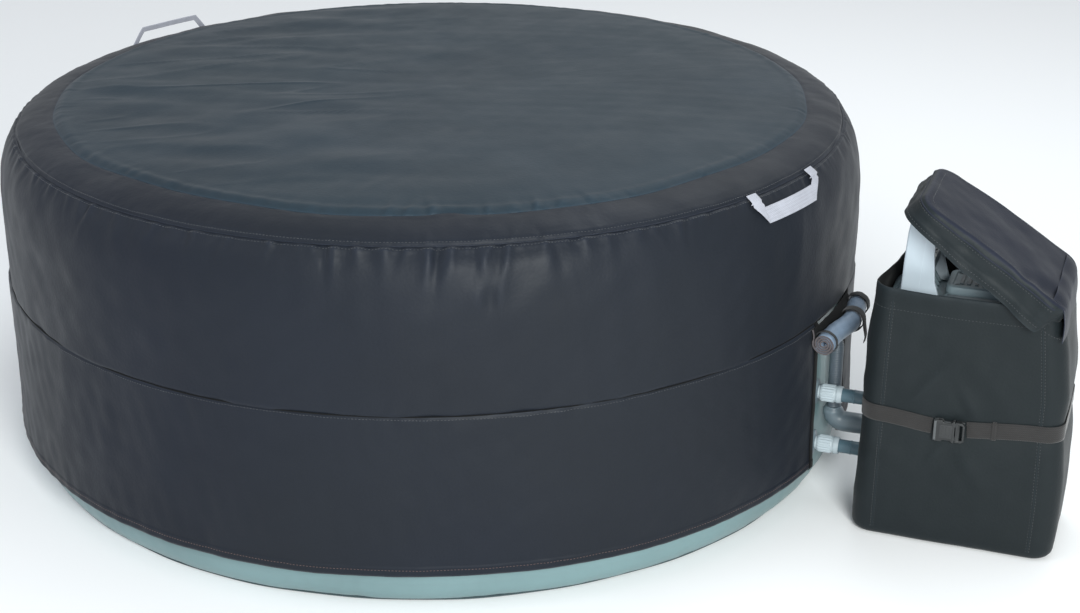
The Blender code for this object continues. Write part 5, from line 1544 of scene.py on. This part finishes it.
def make_flap(m):
    count = 320
    line = flap_outline(count)
    n = outline_normals(line)
    lx, ly = line[:, 0], line[:, 1]
    hinge_side = ease((lx + 0.045) / 0.030) * ease((np.abs(n[:, 0]) - 0.25) / 0.5) * (n[:, 0] > 0)
    towards_hinge = np.clip((lx + 0.354) / 0.35, 0, 1)
    skirt = (0.0480 - 0.007 * towards_hinge) * (1 - hinge_side) + 0.004 * hinge_side
    corner_cut = ease((lx + 0.030) / 0.026)
    skirt = skirt * (1 - 0.85 * corner_cut) + 0.004 * corner_cut
    centre = np.array((-0.188, -0.187))
    top = 0.0060
    turn = 0.0115
    rows = []
    for scale in np.linspace(0.02, 1.0, 46) ** 0.9:
        rows.append(np.column_stack([centre + (line - n * turn - centre) * scale, np.full(count, top)]))
    for angle in np.radians((18, 36, 54, 72, 90)):
        rows.append(np.column_stack([line - n * turn * (1 - sin(angle)),
                                     top - turn * (1 - cos(angle)) * np.ones(count)]))
    skirt_share = np.linspace(0, 1, 22)[1:]
    for t in skirt_share:
        rows.append(np.column_stack([line, top - turn - (skirt - turn + 0.006).clip(0.0004) * t]))
    p = np.array(rows)
    flat = p.copy()
    plan_n = np.column_stack([n, np.zeros(count)])
    panel_rows = 46
    drop = np.clip((top - flat[..., 2]) / 0.05, 0, 1)
    crown = 0.0030 * np.cos(np.clip((flat[..., 0] + 0.185) / 0.2, -1, 1) * pi / 2)
    high = crown + 0.0009 * waves(flat, 0.16, 81) + 0.00018 * waves(flat, 0.05, 82)
    dents = ((-0.075, -0.300, 0.020, -0.0050), (-0.045, -0.285, 0.022, -0.0040),
             (-0.115, -0.315, 0.018, -0.0035),
             (-0.090, -0.270, 0.030, 0.0028), (-0.300, -0.090, 0.050, -0.0018))
    for cx, cy, size, depth in dents:
        high = high + depth * bell(flat[..., 0] - cx, size) * bell(flat[..., 1] - cy, size * 1.2)
    ridge = 0.0016 * bell(np.arange(len(p)) - 47.5, 2.2)[:, None]
    on_skirt = ease((np.arange(len(p)) - 46) / 5.0)[:, None]
    high_top = (high + ridge) * (1 - on_skirt)
    fold = 0.0011 * waves(flat * np.array((1, 1, 0.5)), 0.085,
                          84) + 0.0007 * waves(flat * np.array((1, 1, 2.0)), 0.05, 85)
    near_hinge = ease((flat[..., 0] + 0.16) / 0.12) * ease((-0.2 - flat[..., 1]) / 0.1)
    fold = fold + near_hinge * 0.0014 * waves(flat * np.array((1, 1, 1.6)), 0.045, 86)
    flare = 0.0040 * drop * (1 - hinge_side)[None]
    step = 0.0010 * on_skirt * ease((np.arange(len(p)) - 62) / 1.5)[:, None]
    out = (fold * np.minimum(1, drop * 2.5) + flare) * on_skirt + step
    out = out * (1 - 0.8 * hinge_side)[None]
    p = p + plan_n[None] * out[..., None]
    p[..., 2] += high_top
    share_down = np.concatenate([np.zeros(51), skirt_share])[:, None]
    p[..., 2] += flap_rise(flat[..., 0]) * (1 - share_down)
    hem_wave = 0.0020 * np.sin(lx * 38 + 0.5) + 0.0012 * np.sin(ly * 55)
    p[..., 2] += (on_skirt * drop) * hem_wave[None] * (1 - hinge_side)[None]
    thick = 0.0036
    inner_rows = []
    for k in list(range(len(p) - 1, panel_rows + 4, -2)):
        inner_rows.append(p[k] - plan_n * thick)
    for k in (panel_rows + 3, panel_rows, panel_rows - 6, panel_rows - 16, panel_rows - 28, panel_rows - 40):
        row = p[min(k, len(p) - 1)].copy()
        row[:, 2] -= thick
        if k > panel_rows - 7:
            row[:, :2] -= n * thick
        inner_rows.append(row)
    whole = np.concatenate([p, np.array(inner_rows)])
    lined = np.zeros(len(whole) - 1, int)
    lined[len(p):] = 1
    crest = p[0, :, 2].mean()
    poles = flap_place(np.array([(centre[0], centre[1], crest), (centre[0], centre[1], crest - thick)]))
    flap = grid("flap_shell", flap_place(whole), [m["flap"], m["dark_lining"], m["bag"]], "cover_flap",
                wrap_rows=False,
                poles=poles, sharp=70, slot_of_row=lined)
    index = np.zeros(len(flap.data.polygons), np.int32)
    flap.data.polygons.foreach_get("material_index", index)
    skirt_faces = count * (len(p) - 1)
    first_skirt = count * (panel_rows + 2)
    index[first_skirt:skirt_faces] = 2
    flap.data.polygons.foreach_set("material_index", index)
    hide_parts("cover_flap")

    parts = []
    for name, row, away in (("flap_hem_stitching", len(p) - 5, 0),
                            ("flap_ridge_stitching", panel_rows + 6, 0),
                            ("flap_panel_stitching", panel_rows - 3, 1)):
        keep = np.where(hinge_side < 0.05)[0]
        start = int(np.argmax(np.diff(np.concatenate([keep[-1:] - count, keep]))))
        keep = np.roll(keep, -start)
        chosen = p[row][keep]
        normal = plan_n[keep] if not away else np.repeat(np.array((0, 0, 1.0))[None], len(keep), 0)
        world = flap_place(chosen)
        tip = flap_place(chosen + normal) - world
        parts.append(stitches(name, world + tip * 0.0001, tip, m["thread"], "cover_flap"))
    edge = p[panel_rows + 4]
    keep = np.where(hinge_side < 0.05)[0]
    start = int(np.argmax(np.diff(np.concatenate([keep[-1:] - count, keep]))))
    keep = np.roll(keep, -start)
    line3 = edge[keep]
    normal = plan_n[keep] * 0.8 + np.array((0, 0, 0.6))
    side = np.cross(np.gradient(line3, axis=0), normal)
    side /= np.linalg.norm(side, axis=1)[:, None]
    around = np.arange(8) / 8 * TAU
    ring = np.array([flap_place(line3 + normal * (0.0013 * cos(a) + 0.0002) + side * 0.0013 * sin(a))
                     for a in around])
    piping = grid("flap_piping", ring, m["flap"], "cover_flap", wrap_cols=False)
    parts.append(piping)
    return flap, parts


# ---- the pump -----------------------------------------------------------------------------------
def hood_face_x(z):
    return 1.172 + (z - 0.515) * 0.06


def make_pump(m):
    foot = 0.5153
    arch = [(1.1305, foot), (1.1345, 0.600), (1.1385, 0.660), (1.1450, 0.705), (1.1560, 0.7365),
            (1.1650, 0.7480),
            (1.1725, 0.7545), (1.1800, 0.7520), (1.1830, 0.7460), (hood_face_x(0.720), 0.720),
            (hood_face_x(foot), foot)]
    hood = extruded("hood_shell", arch, -0.2400, -0.0920, m["shell"], "pump", bevel=0.0060, segments=4)
    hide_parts("pump_hood")
    for tag, y0, y1 in (("near", -0.2400, -0.2290), ("far", -0.1030, -0.0920)):
        outline = [(hood_face_x(0.5160) - 0.006, 0.5160), (hood_face_x(0.5160) + 0.0420, 0.5160),
                   (hood_face_x(0.560) + 0.0250, 0.560), (hood_face_x(0.620) + 0.0165, 0.620),
                   (hood_face_x(0.690) + 0.0145, 0.690), (hood_face_x(0.724) + 0.0100, 0.724),
                   (hood_face_x(0.742) + 0.0010, 0.742), (hood_face_x(0.742) - 0.006, 0.742)]
        extruded(f"hood_cheek_{tag}", outline, y0, y1, m["shell"], "pump", bevel=0.0030)
    for k in range(6):
        y = -0.2180 + k * 0.0208
        outline = [(hood_face_x(0.5165) - 0.002, 0.5162), (hood_face_x(0.5165) + 0.0260, 0.5162),
                   (hood_face_x(0.5165) + 0.0200, 0.5260), (hood_face_x(0.530) + 0.0100, 0.5400),
                   (hood_face_x(0.545) + 0.0060, 0.5560), (hood_face_x(0.556) - 0.002, 0.5560)]
        extruded(f"hood_rib_{'abcdef'[k]}", outline, y, y + 0.0060, m["deck"], "pump",
                               bevel=0.0010)
    brow = [(hood_face_x(0.7060) - 0.004, 0.7060), (hood_face_x(0.7060) + 0.0170, 0.7060),
            (hood_face_x(0.714) + 0.0150, 0.714), (hood_face_x(0.722) + 0.0050, 0.722),
            (hood_face_x(0.722) - 0.004, 0.722)]
    extruded("hood_brow", brow, -0.2292, -0.1028, m["shell"], "pump", bevel=0.0015)

    deck_line = rounded_rectangle((1.1045, 1.4315), (-0.2855, -0.0745), 0.0355, 160)
    dn = outline_normals(deck_line)
    centre = np.array((1.268, -0.180))
    rows = [np.column_stack([centre + (deck_line - centre) * 0.5, np.full(160, 0.4956)])]
    for inset, z in ((0.0, 0.4956), (0.0, 0.5080), (0.0008, 0.5115), (0.0030, 0.5138), (0.0060, 0.5147),
                     (0.0120, 0.5147),
                     (0.0132, 0.5122), (0.0165, 0.5122), (0.0178, 0.5147), (0.0260, 0.5147)):
        rows.append(np.column_stack([deck_line - dn * inset, np.full(160, z)]))
    rows.append(np.column_stack([centre + (deck_line - centre) * 0.5, np.full(160, 0.5147)]))
    deck = grid("deck_plate", np.array(rows), m["deck"], "pump", wrap_rows=False,
                poles=((centre[0], centre[1], 0.4956), (centre[0], centre[1], 0.5147)), sharp=35)
    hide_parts("pump_deck")

    cover = rounded_rectangle((1.2155, 1.4045), (-0.1995, -0.0925), 0.0175, 120)
    cn = outline_normals(cover)
    centre = np.array((1.310, -0.146))
    rows = [np.column_stack([centre + (cover - centre) * 0.5, np.full(120, 0.5156)])]
    for inset, z in ((0.0, 0.5156), (0.0, 0.5230), (0.0012, 0.5236), (0.0012, 0.5262), (0.0, 0.5268),
                     (0.0006, 0.5360),
                     (0.0022, 0.5398), (0.0055, 0.5416), (0.0140, 0.5416), (0.0155, 0.5396),
                     (0.0230, 0.5396)):
        rows.append(np.column_stack([cover - cn * inset, np.full(120, z)]))
    rows.append(np.column_stack([centre + (cover - centre) * 0.5, np.full(120, 0.5396)]))
    lid = grid("service_lid", np.array(rows), m["deck"], "pump", wrap_rows=False,
               poles=((centre[0], centre[1], 0.5156), (centre[0], centre[1], 0.5396)), sharp=35)
    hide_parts("service_cover")
    extras = [block("deck_step", (1.2160, -0.2760, 0.5150), (1.4000, -0.2080, 0.5290), m["deck"], "pump",
                    0.0050,
                    segments=4),
              block("deck_tread", (1.2260, -0.2660, 0.5286), (1.3900, -0.2180, 0.5322), m["panel"], "pump",
                    0.0015)]
    for k in range(9):
        x = 1.243 + k * 0.0150
        extras.append(block(f"service_rib_{'abcdefghi'[k]}", (x, -0.1740, 0.5390),
                            (x + 0.0070, -0.1180, 0.5419),
                            m["panel"], "pump", 0.0009))

    bezel_low, bezel_high = 0.5600, 0.7000
    outline = [(hood_face_x(bezel_low) + 0.0003, bezel_low), (hood_face_x(bezel_high) + 0.0003, bezel_high),
               (hood_face_x(bezel_high - 0.008) + 0.0138, bezel_high - 0.008),
               (hood_face_x(bezel_low + 0.004) + 0.0138, bezel_low + 0.004)]
    node = NODES["control_panel"]
    node.data.materials.clear()
    node.data.materials.append(m["panel"])


NODE_FINISH = {
    "tub_floor": "bath", "air_ring": "bath", "return_grille": "white", "return_nozzle": "white",
    "filter_base": "white", "filter_cartridge": "filter", "filter_cap": "white", "inflation_valve": "elbow",
    "inflation_cap": "rubber", "drain_valve": "elbow", "drain_cap": "rubber", "lid_valve_plug": "rubber",
    "air_duct": "hose", "gasket_upper": "rubber", "gasket_lower": "rubber", "pump_base": "deck",
    "pump_housing": "shell", "control_panel": "panel", "display_window": "glass", "cable_gland": "rubber",
    "pump_volute": "deck", "pump_impeller": "white", "pump_motor": "motor", "heater_tube": "steel",
    "blower_housing": "hose", "blower_fan": "white", "circuit_board": "board", "button_power": "white",
    "button_filter": "white", "button_heater": "white", "button_bubbles": "white", "button_up": "white",
    "button_down": "white",
}
BEVELLED = {"pump_base": 0.004, "control_panel": 0.002, "display_window": 0.0006, "inflation_cap": 0.001,
            "drain_cap": 0.001, "return_grille": 0.001, "filter_cap": 0.001, "cable_gland": 0.001,
            "circuit_board": 0.0002, "pump_motor": 0.001, "pump_volute": 0.001, "inflation_valve": 0.0006}


def finish_nodes(m):
    """The CAD pieces that stay get their finish, and their edges a small round."""
    for name, key in NODE_FINISH.items():
        node = NODES[name]
        node.data.materials.clear()
        node.data.materials.append(m[key])
        width = BEVELLED.get(name, 0.0010 if name.startswith("button_") else 0.0)
        if width:
            bevel = node.modifiers.new("round", "BEVEL")
            bevel.width = width
            bevel.segments = 3
            bevel.limit_method = "ANGLE"
            bevel.angle_limit = radians(40)


def main():
    make_camera()
    make_studio()
    m = make_materials()
    finish_nodes(m)
    make_tub(m)
    jacket = make_jacket(m)
    front = make_handle("front_handle_band", "handle_front", "front_handle", radians(-18.4), radians(25.0), m)
    rear = make_handle("rear_handle_band", "handle_rear", "rear_handle", radians(160.0), radians(185.0), m,
                       slim=True)
    roll, tie, tails = make_door_roll(m)
    make_pipes(m)
    bag, bag_parts = make_bag(m)
    strap, keepers = make_strap(m)
    flap, flap_parts = make_flap(m)
    flap_parts.append(make_hinge_strip(m))
    make_pump(m)


main()
